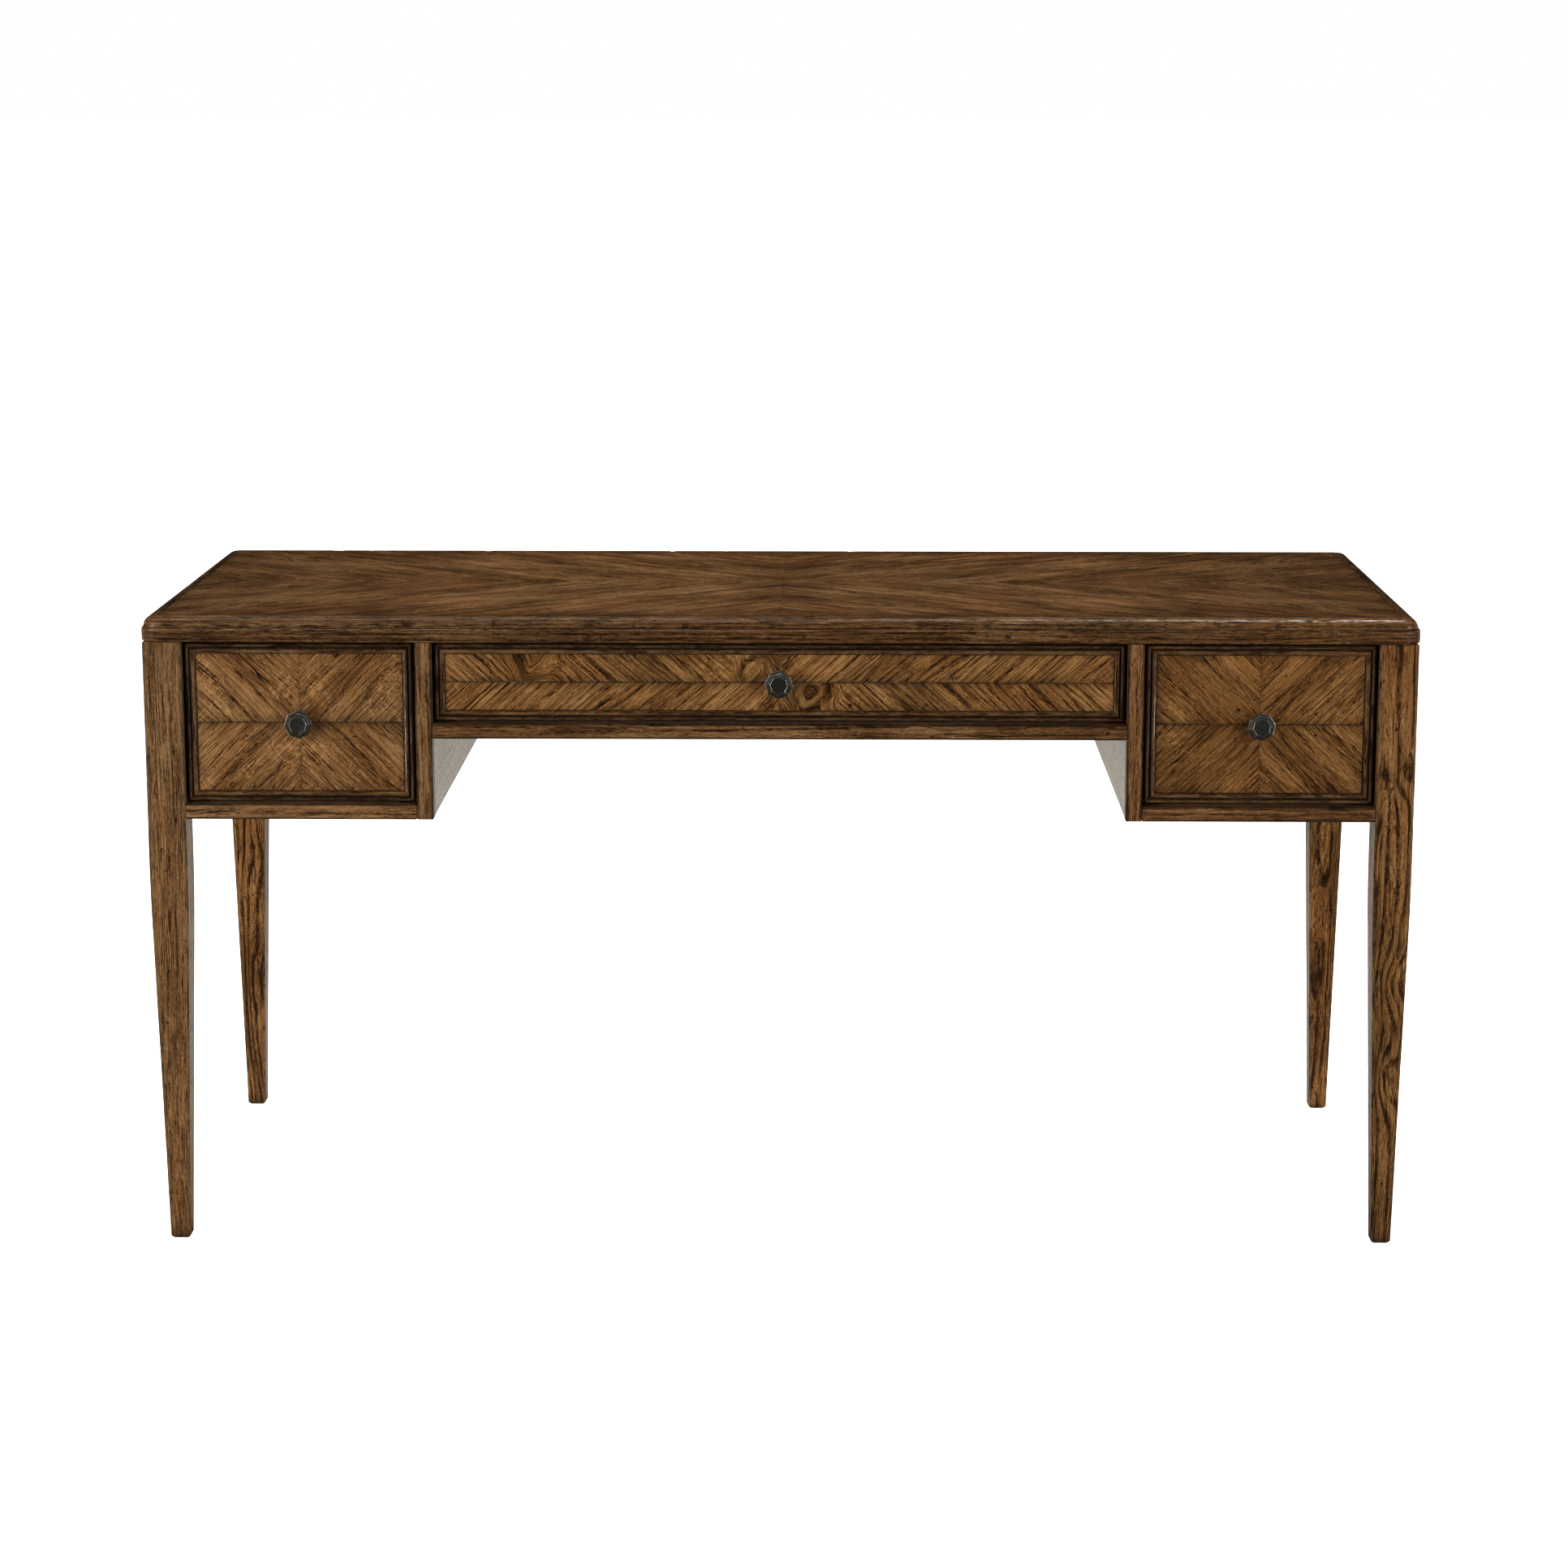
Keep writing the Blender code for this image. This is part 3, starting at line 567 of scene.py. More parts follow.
def board_rings(half_a, half_b, radii):
    """(stations, points, 2) round a board whose corners have these radii, and each point's edge weight."""
    points, edge = [], []
    for corner, (sign_a, sign_b, start) in enumerate(CORNERS):
        radius = radii[:, corner]
        for step in range(CORNER_STEPS + 1):
            angle = math.pi * (start + 0.5 * step / CORNER_STEPS)
            a = sign_a * (half_a - radius) + radius * math.cos(angle)
            b = sign_b * (half_b - radius) + radius * math.sin(angle)
            points.append(np.stack([a, b], -1))
            edge.append(1.0)
        next_a, next_b = CORNERS[(corner + 1) % len(CORNERS)][:2]
        for at_a, at_b in ((sign_a, sign_b), (next_a, next_b)):
            side_a = inset_along(at_a, half_a, sign_a != next_a, radius)
            side_b = inset_along(at_b, half_b, sign_b != next_b, radius)
            points.append(np.stack([side_a, side_b], -1))
            edge.append(0.0)
    return np.stack(points, axis=1), np.array(edge)


def inset_along(sign, half, moves, radius):
    """A side's point: on the face, or EDGE_ZONE in from the corner along the side it lies on."""
    return sign * (half - (EDGE_ZONE + radius if moves else 0.0))


def taper_share(heights):
    """Share of a leg's full taper at each height, as its CAD node has it."""
    slope_end = TAPER_TOP - TAPER_BLEND
    full = slope_end + TAPER_BLEND / 2
    curve = np.clip(TAPER_TOP - heights, 0, TAPER_BLEND) ** 2 / (2 * TAPER_BLEND)
    line = np.clip(slope_end - heights, 0, None)
    return (curve + line) / full


def board_stations(length, radius, on_floor):
    """Places along a board, and how much narrower it is at each: eased ends, or a chamfer at the floor."""
    eased = radius * np.array([[0.0, 1.0], [0.35, 0.35], [1.0, 0.0]])
    chamfered = np.array([[0.0, FOOT_CHAMFER], [FOOT_CHAMFER * 0.9, 0.0003], [FOOT_CHAMFER * 1.3, 0.0]])
    start = chamfered if on_floor else eased
    middle = np.linspace(start[-1, 0], length - eased[-1, 0], max(4, int(length / BOARD_SPACING)))
    places = np.concatenate([start[:-1, 0], middle, length - eased[:-1, 0][::-1]])
    shrink = np.concatenate([start[:-1, 1], np.zeros(len(middle)), eased[:-1, 1][::-1]])
    return places, shrink


def board_span(low, high, foot, share):
    """A board's middle and half its size on one axis, at this share of the way to its foot."""
    at_low = low + (foot[0] - low) * share
    at_high = high + (foot[1] - high) * share
    return (at_low + at_high) / 2, (at_high - at_low) / 2


def worn_corners(rng, places, radius, nick):
    """The radius of each corner at each place, and how deep the nicks are there."""
    radii = np.empty((len(places), len(CORNERS)))
    depth = np.empty_like(radii)
    for corner in range(len(CORNERS)):
        depth[:, corner] = nick_depth(rng, places, 0.016, 0.16)
        radii[:, corner] = radius * (0.75 + 0.7 * wander_noise(rng, places, 0.05)) + nick * depth[:, corner]
    return radii, depth


def plank(name, node, along, material, shift, tone, radius, nick, foot=None, edge_grime_and_shade=0.20):
    """A board in the place of a CAD node, with softly worn and nicked edges. `foot` is a leg's span on each
    of the other two axes at the floor, and `edge_grime_and_shade` is how dark its edges are: dirt, and where
    it is high, on the rails and stiles, also painted shade of the gaps round the drawers."""
    low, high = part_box(node)
    rng = seeded(name)
    a_axis, b_axis = [axis for axis in range(3) if axis != along]
    places, shrink = board_stations(high[along] - low[along], radius, foot is not None)
    radii, depth = worn_corners(rng, places, radius, nick)
    share = taper_share(places + low[along]) if foot else np.zeros(len(places))
    foot_a, foot_b = foot or [(low[axis], high[axis]) for axis in (a_axis, b_axis)]
    centre_a, half_a = board_span(low[a_axis], high[a_axis], foot_a, share)
    centre_b, half_b = board_span(low[b_axis], high[b_axis], foot_b, share)
    section, edge = board_rings(half_a - shrink, half_b - shrink, radii)
    rings = np.empty((*section.shape[:2], 3))
    rings[..., along] = (places + low[along])[:, None]
    rings[..., a_axis] = section[..., 0] + centre_a[:, None]
    rings[..., b_axis] = section[..., 1] + centre_b[:, None]
    grain = np.stack([rings[..., along], rings[..., a_axis], rings[..., b_axis]], -1) + np.array(shift)
    depth = np.repeat(depth, CORNER_POINTS, axis=1)
    grime = np.stack([wander_noise(rng, places, 0.03) for _ in CORNERS], -1)
    # Dark edges: dirt, and on the rails and stiles mostly painted shade of the gaps round the drawers
    dirt_and_shade = edge * (edge_grime_and_shade + 0.45 * np.repeat(grime, CORNER_POINTS, axis=1) + 0.45 * depth)
    wear = edge * (1 - depth) * np.clip(1 - edge_grime_and_shade, 0, 1)
    if foot:
        strength, reach = FOOT_GRIME
        dirt_and_shade = np.maximum(dirt_and_shade, strength * np.clip(1 - places / reach, 0, 1)[:, None])
    obj = grid_object(name, rings, "carcass", material, grain, dirt_and_shade, wear, tone)
    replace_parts(obj, node)


def make_legs(straight, figured):
    # place: its wood, its tone, and how far the board's heart lies from the leg
    legs = {
        "front_left": (straight, -0.01, (0.0, 1.10, 0.62)),
        "front_right": (figured, -0.02, (2.0, -0.718, 0.325)),
        "back_left": (figured, -0.03, (4.0, 0.725, -0.28)),
        "back_right": (figured, -0.06, (6.0, -0.720, -0.285)),
    }
    for place, (wood, tone, shift) in legs.items():
        node = "leg_" + place
        ends = np.array([v.co for v in NODES[node].data.vertices if v.co.z < 2 * FOOT_CHAMFER])
        foot = [(ends[:, axis].min(), ends[:, axis].max()) for axis in (0, 1)]
        plank("post_" + place, node, 2, wood, shift, tone, radius=0.0013, nick=0.0018, foot=foot)


def make_frame(oak):
    # node: the axis of its grain, its tone, and how far the board's heart lies from it
    members = {
        "centre_front_rail": (0, -0.09, (8.0, 0.345, -0.60)),
        "left_front_rail": (0, -0.03, (10.0, 0.335, -0.5)),
        "right_front_rail": (0, -0.08, (12.0, 0.33, -0.52)),
        "left_stile": (2, 0.07, (14.0, 0.60, 0.42)),
        "right_stile": (2, 0.02, (16.0, -0.36, 0.36)),
    }
    for node, (along, tone, shift) in members.items():
        # Strong edge darkening here: a little dirt, and painted shade of the gaps round the drawers
        plank("worn_" + node, node, along, oak, shift, tone, radius=0.0010, nick=0.0014, edge_grime_and_shade=0.80)


# -------- moulding round the top

TOP_LOW, TOP_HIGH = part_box("top_panel")
FRONT_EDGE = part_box("top_edge_front")
OUTER_LOW = Vector((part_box("top_edge_left")[0].x, FRONT_EDGE[0].y, 0))
OUTER_HIGH = Vector((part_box("top_edge_right")[1].x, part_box("top_edge_back")[1].y, 0))
TOP_THICKNESS = FRONT_EDGE[1].z - FRONT_EDGE[0].z
EDGE_WIDTH = TOP_LOW.y - FRONT_EDGE[0].y - 0.0003
CORNER_RADIUS = 0.022
MITRE_GAP = 0.00015
MITRE_STATIONS = 8
EDGE_SPACING = 0.003
EDGE_TONES = {"front": -0.21, "right": -0.36, "back": -0.30, "left": -0.36}
EDGE_WEAR = 0.00035
EDGE_NICK = 0.0013
BAND_HEIGHT = 0.016
QUIRK_DEPTH = 0.0022
OVOLO_BASE = 0.0168
OVOLO_END = 0.0165  # how far in from the edge the round meets the top's face
OVOLO_STEPS = 12
FIELD_GROOVE = 0.0010


def top_profile():
    """(distance in, height, crest, groove) round the moulding's section, from its lower outer corner."""
    band, quirk, base, groove = BAND_HEIGHT, QUIRK_DEPTH, OVOLO_BASE, FIELD_GROOVE
    thickness, width = TOP_THICKNESS, EDGE_WIDTH
    points = [(0.0012, 0.0, 0.0, 0.3), (0.0004, 0.0004, 0.5, 0.0), (0.0, 0.0012, 0.6, 0.0)]
    points += [(0.0, z, 0.05, 0.0) for z in np.linspace(0.003, band - 0.0026, 4)]
    points += [(0.0, band - 0.0012, 0.7, 0.0), (0.0004, band - 0.0003, 1.0, 0.0), (0.0010, band, 0.8, 0.0)]
    points += [(quirk - 0.0002, band, 0.0, 1.0), (quirk, band + 0.0002, 0.0, 1.0), (quirk, base, 0.2, 0.6)]
    for step in range(1, OVOLO_STEPS + 1):
        angle = math.pi / 2 * step / OVOLO_STEPS
        inward = quirk + (OVOLO_END - quirk) * (1 - math.cos(angle))
        crest = math.exp(-(((step - 2.2) / 1.6) ** 2))
        points.append((inward, base + (thickness - base) * math.sin(angle), crest, 0.0))
    points += [(width - groove * 1.3, thickness, 0.3, 0.0)]
    points += [(width - groove * 0.9, thickness - 0.0001, 0.6, 0.2), (width, thickness - groove, 0.0, 1.0)]
    points += [(width, thickness / 2, 0.0, 1.0), (width, 0.0, 0.0, 0.6)]
    return np.array(points)


def edge_line(length):
    """Each station's direction from its arc's centre, that centre, and the distance along the grain."""
    count = MITRE_STATIONS
    trim = MITRE_GAP / CORNER_RADIUS
    front, eighth = math.radians(270), math.radians(45)
    arc = np.linspace(front - eighth + trim, front, count + 1)
    reach = length / 2 - CORNER_RADIUS
    straight = np.linspace(-reach, reach, int(length / EDGE_SPACING))
    angles = np.concatenate([arc[:-1], np.full(len(straight), front), arc[1:] + eighth - trim])
    centres = np.concatenate([np.full(count, straight[0]), straight, np.full(count, straight[-1])])
    ends = np.arange(1, count + 1) * 0.002
    along = np.concatenate([straight[0] - ends[::-1], straight, straight[-1] + ends])
    return angles, centres, along


def edge_nicks(rng, along, count):
    """How deep the nicks are at each station and profile point."""
    nicks = np.zeros((len(along), count))
    for _ in range(3):
        reach = 2.5 + 2.5 * rng.random()
        middle = wander_noise(rng, along, 0.09) * count
        nicks += bell(count, middle[:, None], reach) * nick_depth(rng, along, 0.014, 0.20)[:, None]
    nicks += bell(count, 14.5, 2.6) * nick_depth(rng, along, 0.008, 0.26)[:, None]
    return np.clip(nicks, 0, 1)


def worn_section(rng, along, profile, nicks):
    """(stations, points, 2): the profile at each station, with its crests rubbed and its nicks cut."""
    crest, groove = profile[:, 2], profile[:, 3]
    worn = EDGE_WEAR * wander_noise(rng, along, 0.02)[:, None] * crest + EDGE_NICK * nicks * (1 - groove)
    inward = np.array([EDGE_WIDTH * 0.6, TOP_THICKNESS * 0.4]) - profile[:, :2]
    inward /= np.linalg.norm(inward, axis=1, keepdims=True)
    return profile[None, :, :2] + worn[..., None] * inward[None]


def top_edge(side, quarter_turns, material):
    """One mitred moulding, worn and nicked along its crests, in the place of its CAD node."""
    name = "edge_" + side
    size = OUTER_HIGH - OUTER_LOW
    length, width = (size.x, size.y) if quarter_turns % 2 == 0 else (size.y, size.x)
    angles, centres, along = edge_line(length)
    profile = top_profile()
    rng = seeded(name)
    nicks = edge_nicks(rng, along, len(profile))
    section = worn_section(rng, along, profile, nicks)
    radius = CORNER_RADIUS - section[..., 0]
    x = centres[:, None] + radius * np.cos(angles)[:, None]
    y = CORNER_RADIUS - width / 2 + radius * np.sin(angles)[:, None]
    turn = math.radians(90) * quarter_turns
    middle = (OUTER_LOW + OUTER_HIGH) / 2
    rings = np.stack([x * math.cos(turn) - y * math.sin(turn) + middle.x,
                      x * math.sin(turn) + y * math.cos(turn) + middle.y,
                      section[..., 1] + FRONT_EDGE[0].z], -1)
    grain = np.stack([np.broadcast_to(along[:, None], radius.shape), section[..., 0], section[..., 1]], -1)
    grain = grain + np.array([quarter_turns * 3.7, 0.012 + 0.05 * quarter_turns, 0.05])
    from_end = np.minimum(along - along[0], along[-1] - along)
    tone = EDGE_TONES[side] + (EDGE_TONES["front"] - EDGE_TONES[side]) * np.exp(-from_end / 0.03)
    tone = np.broadcast_to(tone[:, None], radius.shape)
    crest, groove = profile[:, 2], profile[:, 3]
    dirt_and_shade = np.clip(groove * 0.95 + nicks * 0.75, 0, 1)
    # Hands have rubbed the lower crest bright at one end and the upper one at the other
    lower = np.interp(along, [-0.50, -0.15], [1.0, 0.30])[:, None]
    upper = np.interp(along, [0.10, 0.45], [0.08, 1.0])[:, None]
    wear = np.clip((crest * lower + bell(len(profile), 20.0, 2.6) * upper) * (1 - nicks), 0, 1)
    obj = grid_object(name, rings, "carcass", material, grain, dirt_and_shade, wear, tone.ravel())
    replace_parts(obj, "top_edge_" + side)


# -------- veneer

LEAF_EASE = 0.0003
# Lines of the mesh in from a leaf's rim, how far each drops, and how much of the rim's dirt it holds
RIM_INSETS = np.array([0.0, LEAF_EASE * 0.3, LEAF_EASE, 0.0009, 0.004, 0.011])
RIM_DROPS = [LEAF_EASE, LEAF_EASE * 0.3, 0.0, 0.0, 0.0, 0.0]
RIM_DIRT = [1, 1, 1, 0.45, 0.25, 0]
TOP_VENEER_THICKNESS = 0.0006


def leaf_lines(start, end, cells):
    inner = np.linspace(start + RIM_INSETS[-1], end - RIM_INSETS[-1], cells)
    return np.concatenate([start + RIM_INSETS[:-1], inner, (end - RIM_INSETS[:-1])[::-1]])


def slab_faces(rows, columns):
    """Quads of a grid of points, of the same grid below it, and of the wall that joins their borders."""
    count = rows * columns
    index = np.arange(count).reshape(rows, columns)
    cell = np.stack([index[:-1, :-1], index[1:, :-1], index[1:, 1:], index[:-1, 1:]], -1).reshape(-1, 4)
    border = np.concatenate([index[:-1, 0], index[-1, :-1], index[:0:-1, -1], index[0, :0:-1]])
    wall = np.stack([border, np.roll(border, -1), np.roll(border, -1) + count, border + count], -1)
    return cell.tolist() + (cell[:, ::-1] + count).tolist() + wall.tolist()


def slab(name, low, high, facing, body, material, grain_of, tone, rim_dirt, cells):
    """A thin leaf with an eased rim. `grain_of` turns points into board points and their extra tone."""
    face_axis, face_sign = facing
    u_axis, v_axis = [axis for axis in range(3) if axis != face_axis]
    us = leaf_lines(low[u_axis], high[u_axis], cells[0])
    vs = leaf_lines(low[v_axis], high[v_axis], cells[1])
    grid_u, grid_v = np.meshgrid(us, vs, indexing="ij")
    from_rim = (grid_u - us[0], us[-1] - grid_u, grid_v - vs[0], vs[-1] - grid_v)
    top, bottom = (high, low) if face_sign > 0 else (low, high)
    points = np.empty((len(us), len(vs), 3))
    points[..., u_axis], points[..., v_axis] = grid_u, grid_v
    drop = np.interp(np.minimum.reduce(from_rim), RIM_INSETS, RIM_DROPS)
    points[..., face_axis] = top[face_axis] - face_sign * drop
    under = points.copy()
    under[..., face_axis] = bottom[face_axis]
    every = np.concatenate([points.reshape(-1, 3), under.reshape(-1, 3)])
    mesh = bpy.data.meshes.new(name)
    mesh.from_pydata(every.tolist(), [], slab_faces(len(us), len(vs)))
    dirt_and_shade = np.zeros_like(grid_u)
    for strength, distance in zip(rim_dirt, from_rim):
        dirt_and_shade = np.maximum(dirt_and_shade, strength * np.interp(distance, RIM_INSETS, RIM_DIRT))
    grain, dark = grain_of(every)
    add_attributes(mesh, grain, np.tile(dirt_and_shade.ravel(), 2), np.zeros(len(every)), tone + dark)
    face_outward(mesh)
    return place_piece(name, mesh, body, material, smooth=50)


def swirled(along, across, u, v, swirl):
    """Board points with the grain turned round a knot at (place_u, place_v), and the dark of its bark."""
    place_u, place_v, reach, stretch = swirl
    round_it = np.arctan2(v - place_v, place_u - u)
    waves = ((0.20, 2, 1.0), (0.10, 3, 2.2), (0.05, 7, 0.0))
    uneven = 1 + sum(size * np.sin(turns * round_it + start) for size, turns, start in waves)
    away = np.hypot((u - place_u) / stretch, v - place_v) * uneven
    share = np.clip(1.6 - away / reach, 0, 1)
    share = 0.9 * share * share * (3 - 2 * share)
    near = np.hypot(u - place_u, v - place_v).argmin()
    turned = across[near] + 0.7 * away
    slowed = along[near] + 0.5 * (along - along[near])
    outward = np.sin(round_it + math.pi / 4) * math.copysign(1, place_v)
    bark = np.exp(-(((away - 0.82 * reach) / (0.21 * reach)) ** 2)) * np.clip(0.65 + 0.6 * outward, 0, 1)
    heart = np.exp(-((away / (0.30 * reach)) ** 2))
    tone = -0.60 * bark - 0.12 * heart
    return along * (1 - share) + slowed * share, across * (1 - share) + turned * share, tone


def quarter_leaves(prefix, low, high, centre, facing, angle, body, material, shift, tones, slices, cells,
                   rim_dirt, seam_dirt, seam, swirls=(), rim_shade=0.0):
    """Four leaves whose grain points to the centre. `slices` is how deep in the flitch each was cut, so that
    near ones match. `swirls` are (leaf, knot) pairs."""
    face_axis = facing[0]
    u_axis, v_axis = [axis for axis in range(3) if axis != face_axis]
    half_u, half_v = [(high[axis] - low[axis]) / 2 for axis in (u_axis, v_axis)]
    for number, (sign_u, sign_v) in enumerate(((-1, -1), (1, -1), (-1, 1), (1, 1))):
        leaf_low, leaf_high = Vector(low), Vector(high)
        dirt_and_shade = []
        for axis, sign, at_seam in ((u_axis, sign_u, seam_dirt[0]), (v_axis, sign_v, seam_dirt[1])):
            if sign > 0:
                leaf_low[axis] = centre[axis] + seam
            else:
                leaf_high[axis] = centre[axis] - seam
            dirt_and_shade += [at_seam, rim_dirt] if sign > 0 else [rim_dirt, at_seam]

        def grain_of(points, number=number):
            u, v = points[:, u_axis] - centre[u_axis], points[:, v_axis] - centre[v_axis]
            depth = points[:, face_axis] - centre[face_axis] + slices[number]
            along = np.abs(u) * math.cos(angle) + np.abs(v) * math.sin(angle)
            across = np.abs(v) * math.cos(angle) - np.abs(u) * math.sin(angle)
            rim = np.minimum(half_u - np.abs(u), half_v - np.abs(v))
            dark = -rim_shade * np.exp(-np.clip(rim, 0, None) / 0.035)
            for where, swirl in swirls:
                if where == number:
                    along, across, bark = swirled(along, across, u, v, swirl)
                    dark += bark
            return np.stack([along, across, depth], -1) + np.array(shift), dark

        slab(f"{prefix}_leaf_{number + 1}", leaf_low, leaf_high, facing, body, material, grain_of,
             tones[number], dirt_and_shade, cells)


def make_top(oak, veneer):
    for turns, side in enumerate(("front", "right", "back", "left")):
        top_edge(side, turns, oak)
    core_high = TOP_HIGH - Vector((0, 0, TOP_VENEER_THICKNESS))
    core = box_piece("top_core", TOP_LOW, core_high, "carcass", oak)
    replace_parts(core, "top_panel")
    inset = Vector((0.0002, 0.0002, 0))
    low = TOP_LOW + inset
    low.z = TOP_HIGH.z - TOP_VENEER_THICKNESS
    quarter_leaves("top", low, TOP_HIGH - inset, (TOP_LOW + TOP_HIGH) / 2, (2, 1), math.radians(37),
                   "carcass", veneer, shift=(0.35, 0.05, 0.28), tones=(0.04, 0.01, 0.02, -0.02),
                   slices=(0.0, 0.0009, 0.0018, 0.0027), cells=(60, 26), rim_dirt=0.55,
                   seam_dirt=(0.0, 0.0), seam=0.00005, rim_shade=0.16)


# -------- drawers

BEAD_WIDTH = 0.0125
BEAD_TONE = -0.26
BEAD_SPACING = 0.0028
BEAD_GAP = 0.0001  # left at each end of a strip and between the bead and the leaves
ROUND_WIDTH = 0.0052
GROOVE_WIDTH = 0.0014
GROOVE_HEIGHT = 0.0008
ROUND_STEPS = 8
LIP_STEPS = 8
# The centre drawer's knots: the leaf, then the place from the drawer's middle, the reach and the stretch
SWIRLS = (
    (2, (-0.031, 0.015, 0.0150, 1.40)),
    (1, (0.036, -0.012, 0.022, 1.30)),
    (2, (-0.289, 0.037, 0.024, 1.4)),
)
# Each strip's side: the axis it lies across, and the sign of the way in
BEAD_SIDES = {"lower": (2, 1), "upper": (2, -1), "left": (0, 1), "right": (0, -1)}
KNOB_SIDES = 8


def bead_profile(height):
    """(distance in, height, crest, groove) across the bead, from its outer wall to its inner lip."""
    base = GROOVE_HEIGHT
    points = [(0.0, 0.0, 0.0, 1.0), (0.0, base, 0.0, 0.8)]
    for step in range(1, ROUND_STEPS):
        angle = math.pi * step / ROUND_STEPS
        crest = math.sin(angle) ** 3
        inward = ROUND_WIDTH * (1 - math.cos(angle)) / 2
        points.append((inward, base + (height - base) * math.sin(angle), crest * 0.6, 1 - crest * 0.65))
    start = ROUND_WIDTH + GROOVE_WIDTH
    points += [(ROUND_WIDTH, base, 0.0, 1.0), (start, base, 0.0, 1.0)]
    points.append((start + 0.0002, height * 0.80, 0.4, 0.2))
    lip = base / 2
    lip_start = start + 0.0010
    for step in range(LIP_STEPS):
        angle = math.pi / 2 * step / (LIP_STEPS - 1)
        inward = lip_start + (BEAD_WIDTH - lip_start) * math.sin(angle)
        crest = math.exp(-(((step - 2.0) / 1.8) ** 2))
        points.append((inward, lip + (height - lip) * math.cos(angle), crest, 0.55 if step > 5 else 0.1))
    points.append((BEAD_WIDTH, 0.0, 0.0, 1.0))
    return np.array(points)


def bead_strip(drawer, side, across_axis, sign, material):
    """One of the four mitred mouldings round a drawer's front."""
    low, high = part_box(drawer + "_bead")
    profile = bead_profile(high.y - low.y)
    inward, height, crest, groove = profile.T
    name = f"{drawer}_bead_{side}"
    rng = seeded(name)
    along_axis = 2 - across_axis
    length = high[along_axis] - low[along_axis]
    share = np.linspace(0, 1, int(length / BEAD_SPACING))
    along = share * length
    nicks = nick_depth(rng, along, 0.008, 0.22)[:, None] * bell(len(profile), 5.0, 3.0)
    nicks = nicks + nick_depth(rng, along, 0.009, 0.22)[:, None] * bell(len(profile), 14.0, 3.0)
    nicks = np.clip(nicks, 0, 1)
    lowered = height * (1 - 0.30 * nicks) - 0.0002 * wander_noise(rng, along, 0.012)[:, None] * crest
    rings = np.empty((len(along), len(profile), 3))
    span = length - 2 * BEAD_GAP - 2 * inward
    rings[..., along_axis] = low[along_axis] + BEAD_GAP + inward + share[:, None] * span
    rings[..., across_axis] = (low if sign > 0 else high)[across_axis] + sign * inward[None]
    rings[..., 1] = high.y - np.clip(lowered, 0, high.y - low.y)
    grain = np.stack([rings[..., along_axis], rings[..., across_axis] * sign, rings[..., 1]], -1)
    grain = grain + np.array([rng.random() * 9, 0.4, 0.6])
    dirt_and_shade = np.clip(groove * 0.95 + nicks * 0.6, 0, 1)
    wear = crest * (1 - nicks) * (0.4 + 0.8 * wander_noise(rng, along, 0.03)[:, None])
    return grid_object(name, rings, drawer, material, grain, dirt_and_shade, np.clip(wear, 0, 1), BEAD_TONE)


def bead_strips(drawer, material):
    for side, (across_axis, sign) in BEAD_SIDES.items():
        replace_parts(bead_strip(drawer, side, across_axis, sign, material), drawer + "_bead")


def drawer_leaves(drawer, angle, shift, material, tones, slices, cells=(24, 18), swirls=()):
    low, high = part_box(drawer + "_front")
    bead_low, bead_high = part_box(drawer + "_bead")
    edge = BEAD_WIDTH + BEAD_GAP
    thickness = low.y - bead_high.y
    leaf_low = Vector((bead_low.x + edge, low.y - thickness, bead_low.z + edge))
    leaf_high = Vector((bead_high.x - edge, low.y, bead_high.z - edge))
    quarter_leaves(drawer, leaf_low, leaf_high, (leaf_low + leaf_high) / 2, (1, -1), math.radians(angle),
                   drawer, material, shift, tones, slices, cells, rim_dirt=0.60, seam_dirt=(0.30, 1.0),
                   seam=0.00015, swirls=swirls)


def knob_profile():
    """(radius, height, wear, dirt) from the face's middle to the foot, as shares of radius and length."""
    face = ((0.0, 0.955, 0.0, 0.2), (0.50, 0.955, 0.0, 0.3), (0.555, 0.958, 0.0, 0.6))
    inner_ring = ((0.585, 0.990, 0.6, 0.0), (0.610, 1.000, 1.0, 0.0), (0.640, 0.985, 0.5, 0.0),
                  (0.700, 0.900, 0.0, 0.5))
    outer_ring = ((0.735, 0.893, 0.2, 0.5), (0.765, 0.905, 0.8, 0.0), (0.790, 0.890, 0.4, 0.0),
                  (0.900, 0.785, 0.0, 0.3))
    rim = ((0.950, 0.765, 0.2, 0.2), (0.985, 0.757, 1.0, 0.0), (1.000, 0.735, 1.0, 0.0),
           (1.000, 0.640, 0.6, 0.0), (0.980, 0.615, 0.3, 0.1))
    neck = ((0.880, 0.560, 0.0, 0.3), (0.640, 0.480, 0.0, 0.4), (0.500, 0.370, 0.0, 0.3),
            (0.480, 0.230, 0.0, 0.4))
    foot = ((0.580, 0.120, 0.1, 0.5), (0.730, 0.090, 0.3, 0.2), (0.740, 0.070, 0.4, 0.2),
            (0.740, 0.0, 0.0, 0.8))
    return np.array(face + inner_ring + outer_ring + rim + neck + foot)


def knob_outline():
    """The angle and reach of each point round the knob, and 1 for those at its eased corners."""
    side = math.radians(360 / KNOB_SIDES)
    across = ((-0.47, 1.0), (-0.40, 1.0), (0.0, 0.0), (0.40, 1.0), (0.47, 1.0))
    angles = [side * number + side * share for number in range(KNOB_SIDES) for share, _ in across]
    reach = [min(math.cos(side / 2) / math.cos(side * share), 0.992) for share, _ in across] * KNOB_SIDES
    return np.array(angles), np.array(reach), np.array([corner for _, corner in across] * KNOB_SIDES)


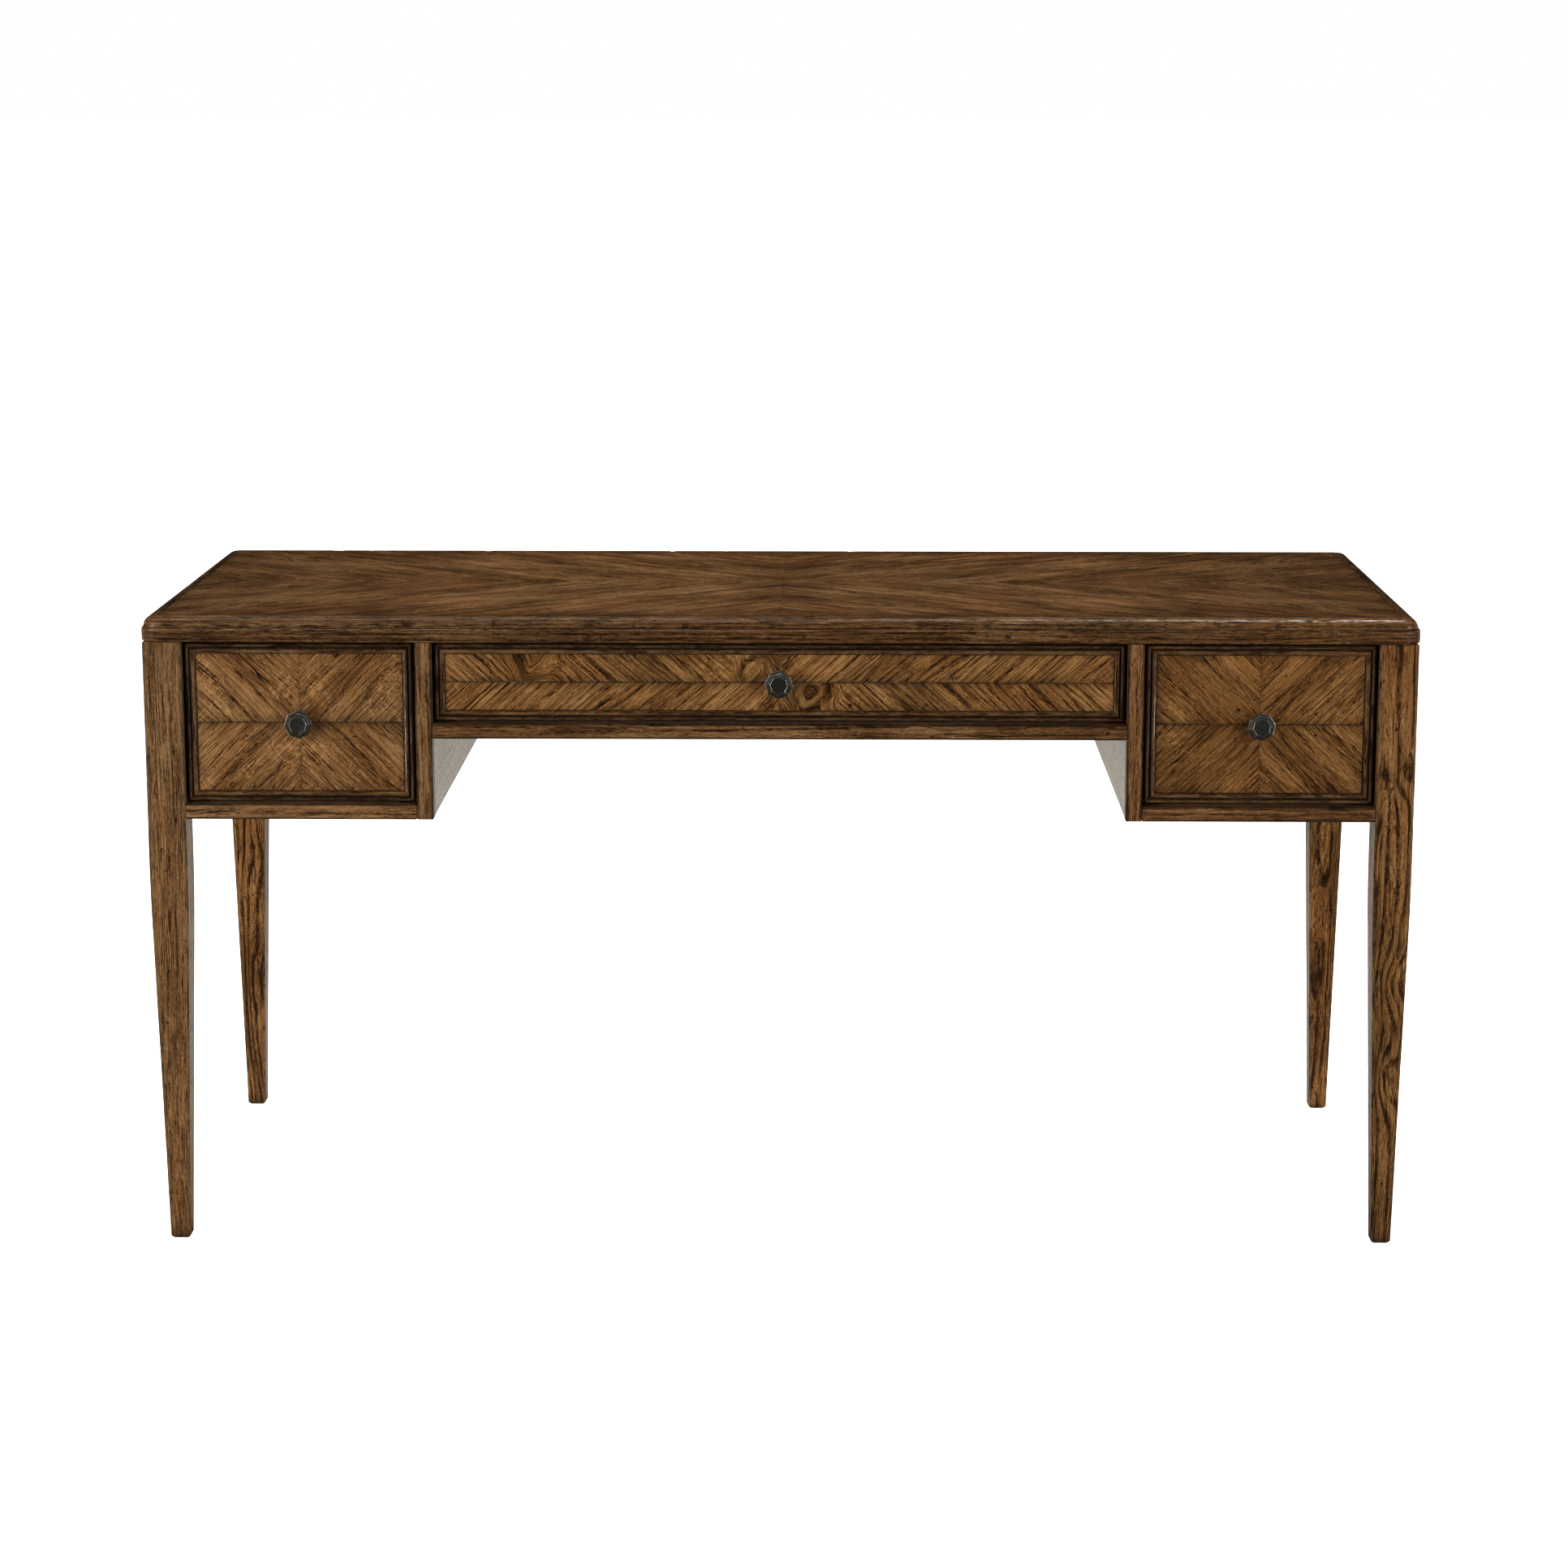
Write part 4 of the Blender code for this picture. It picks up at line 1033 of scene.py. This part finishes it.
def make_knob(drawer, twist, material):
    """A stepped knob with flat sides and eased corners, in the place of its CAD node."""
    node = drawer + "_knob"
    low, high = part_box(node)
    middle = (low + high) / 2
    points = np.array([v.co for v in NODES[node].data.vertices])
    radius = np.hypot(points[:, 0] - middle.x, points[:, 2] - middle.z).max()
    angles, reach, corner = knob_outline()
    angles = angles + math.radians(twist)
    share, height, wear, dirt_and_shade = knob_profile()[1:, :, None].transpose(1, 0, 2)
    body = share * reach[None] * radius
    rings = np.stack([middle.x + body * np.cos(angles)[None],
                      np.broadcast_to(high.y - height * (high.y - low.y), body.shape),
                      middle.z + body * np.sin(angles)[None]], -1)
    wear = np.clip(wear * (0.75 + 0.25 * corner[None]), 0, 1)
    dirt_and_shade = np.broadcast_to(dirt_and_shade, wear.shape)
    grain = (rings - np.array(middle)) + seeded(node).random(3)
    obj = grid_object(drawer + "_octagon_knob", rings, drawer, material, grain,
                      dirt_and_shade, wear, smooth=24)
    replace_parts(obj, node)


# -------- CAD nodes that stay


def dress_nodes(names, material):
    for name in names:
        mesh = NODES[name].data
        mesh.materials.clear()
        mesh.materials.append(material)


def dress_insides():
    """Drawer boxes and their supports, in pale oak with the grain along each board."""
    supports = ("_side", "_kicker", "_stop", "_runner_left", "_runner_right")
    lengthways = [name for name in NODES if "drawer" in name and name.endswith(supports)]
    crossways = [name for name in NODES if name.endswith(("drawer_back", "drawer_bottom", "front_top_rail"))]
    for along, names in (("Y", lengthways), ("X", crossways)):
        point = board_point(along, (3.0, 0.2, 0.3))
        wood = oak_material("drawer_wood_" + along.lower(), PLAIN_COLOURS, point, rough=0.55, shine=0.0,
                            fine=0.5, broad=0.5)
        dress_nodes(names, wood)


def dress_panels():
    """Panels of the carcass and the cores of the drawer fronts, in the stained oak."""
    backs = [place + "_back_panel" for place in ("left", "centre", "right")]
    cores = [place + "_drawer_front" for place in ("left", "centre", "right")]
    for name, along, polish, nodes in (
        ("oak_back", "X", 0.1, backs + cores),
        ("oak_side", "Y", 0.1, ["left_side_panel", "right_side_panel"]),
        ("oak_kneehole", "Y", 1.0, ["left_kneehole_panel", "right_kneehole_panel"]),
    ):
        point = board_point(along, (5.0, 0.3, 0.25))
        dress_nodes(nodes, oak_material(name, OAK_COLOURS, point, polish=polish))


# -------- the scene

# Dark, middle and light of each wood
DARK = (0.014, 0.0058, 0.0018)
OAK_COLOURS = (DARK, (0.122, 0.060, 0.0225), (0.350, 0.203, 0.090))
FIGURED_COLOURS = (DARK, (0.130, 0.058, 0.0175), (0.360, 0.195, 0.072))
PALE_COLOURS = (DARK, (0.152, 0.074, 0.0245), (0.400, 0.232, 0.098))
RED_COLOURS = (DARK, (0.150, 0.066, 0.0185), (0.400, 0.213, 0.074))
CENTRE_COLOURS = (DARK, (0.154, 0.071, 0.0210), (0.410, 0.228, 0.086))
TOP_COLOURS = ((0.014, 0.006, 0.0018), (0.076, 0.036, 0.0125), (0.245, 0.135, 0.058))
PLAIN_COLOURS = ((0.16, 0.095, 0.05), (0.40, 0.27, 0.155), (0.58, 0.43, 0.28))

OAK_FIGURE = oak_group()
make_camera()
make_world()
make_floor()
make_lights()
bpy.context.scene.view_settings.view_transform = "Standard"

OAK = oak_material("oak", OAK_COLOURS, fine=0.9)
STRAIGHT_OAK = oak_material("oak_straight", OAK_COLOURS, wander=0.4, rings=0.05, broad=0.7)
FIGURED_OAK = oak_material("oak_figured", FIGURED_COLOURS, wander=3.5, rings=0.50, knots=0.8, fine=0.9)
LEFT_VENEER = oak_material("oak_veneer_left", PALE_COLOURS, flecks=1.0, wander=1.2, rings=0.15, broad=0.8)
RIGHT_VENEER = oak_material("oak_veneer_right", RED_COLOURS, flecks=0.5, wander=0.9, rings=0.10, broad=0.7)
CENTRE_VENEER = oak_material("oak_veneer_centre", CENTRE_COLOURS, flecks=0.7, wander=1.4, rings=0.25,
                             broad=0.9)
TOP_VENEER = oak_material("oak_veneer_top", TOP_COLOURS, rough=0.45, flecks=0.2, wisps=1.0, wander=2.0,
                          broad=1.3, rings=0.12)
BRONZE = bronze_material()
STEEL = steel_material()

make_top(OAK, TOP_VENEER)
make_legs(STRAIGHT_OAK, FIGURED_OAK)
make_frame(OAK)
bead_strips("left_drawer", OAK)
drawer_leaves("left_drawer", 45, (20.0, 0.03, 0.30), LEFT_VENEER, tones=(0.02, 0.0, 0.06, 0.02),
              slices=(0.0, 0.0009, 0.050, 0.0509))
bead_strips("centre_drawer", OAK)
drawer_leaves("centre_drawer", 42, (24.175, -0.107, 0.10), CENTRE_VENEER, tones=(0.06, 0.03, 0.03, 0.03),
              slices=(0.050, 0.0, 0.0009, 0.0509), cells=(150, 22), swirls=SWIRLS)
bead_strips("right_drawer", OAK)
drawer_leaves("right_drawer", 45, (28.0, 0.10, 0.34), RIGHT_VENEER, tones=(-0.09, -0.09, -0.06, -0.08),
              slices=(0.0, 0.030, 0.0009, 0.0309))
for drawer, twist in (("left_drawer", 26.5), ("centre_drawer", 16.5), ("right_drawer", 33.5)):
    make_knob(drawer, twist, BRONZE)
dress_nodes([name for name in NODES if name.endswith("_knob_screw")], STEEL)
dress_insides()
dress_panels()
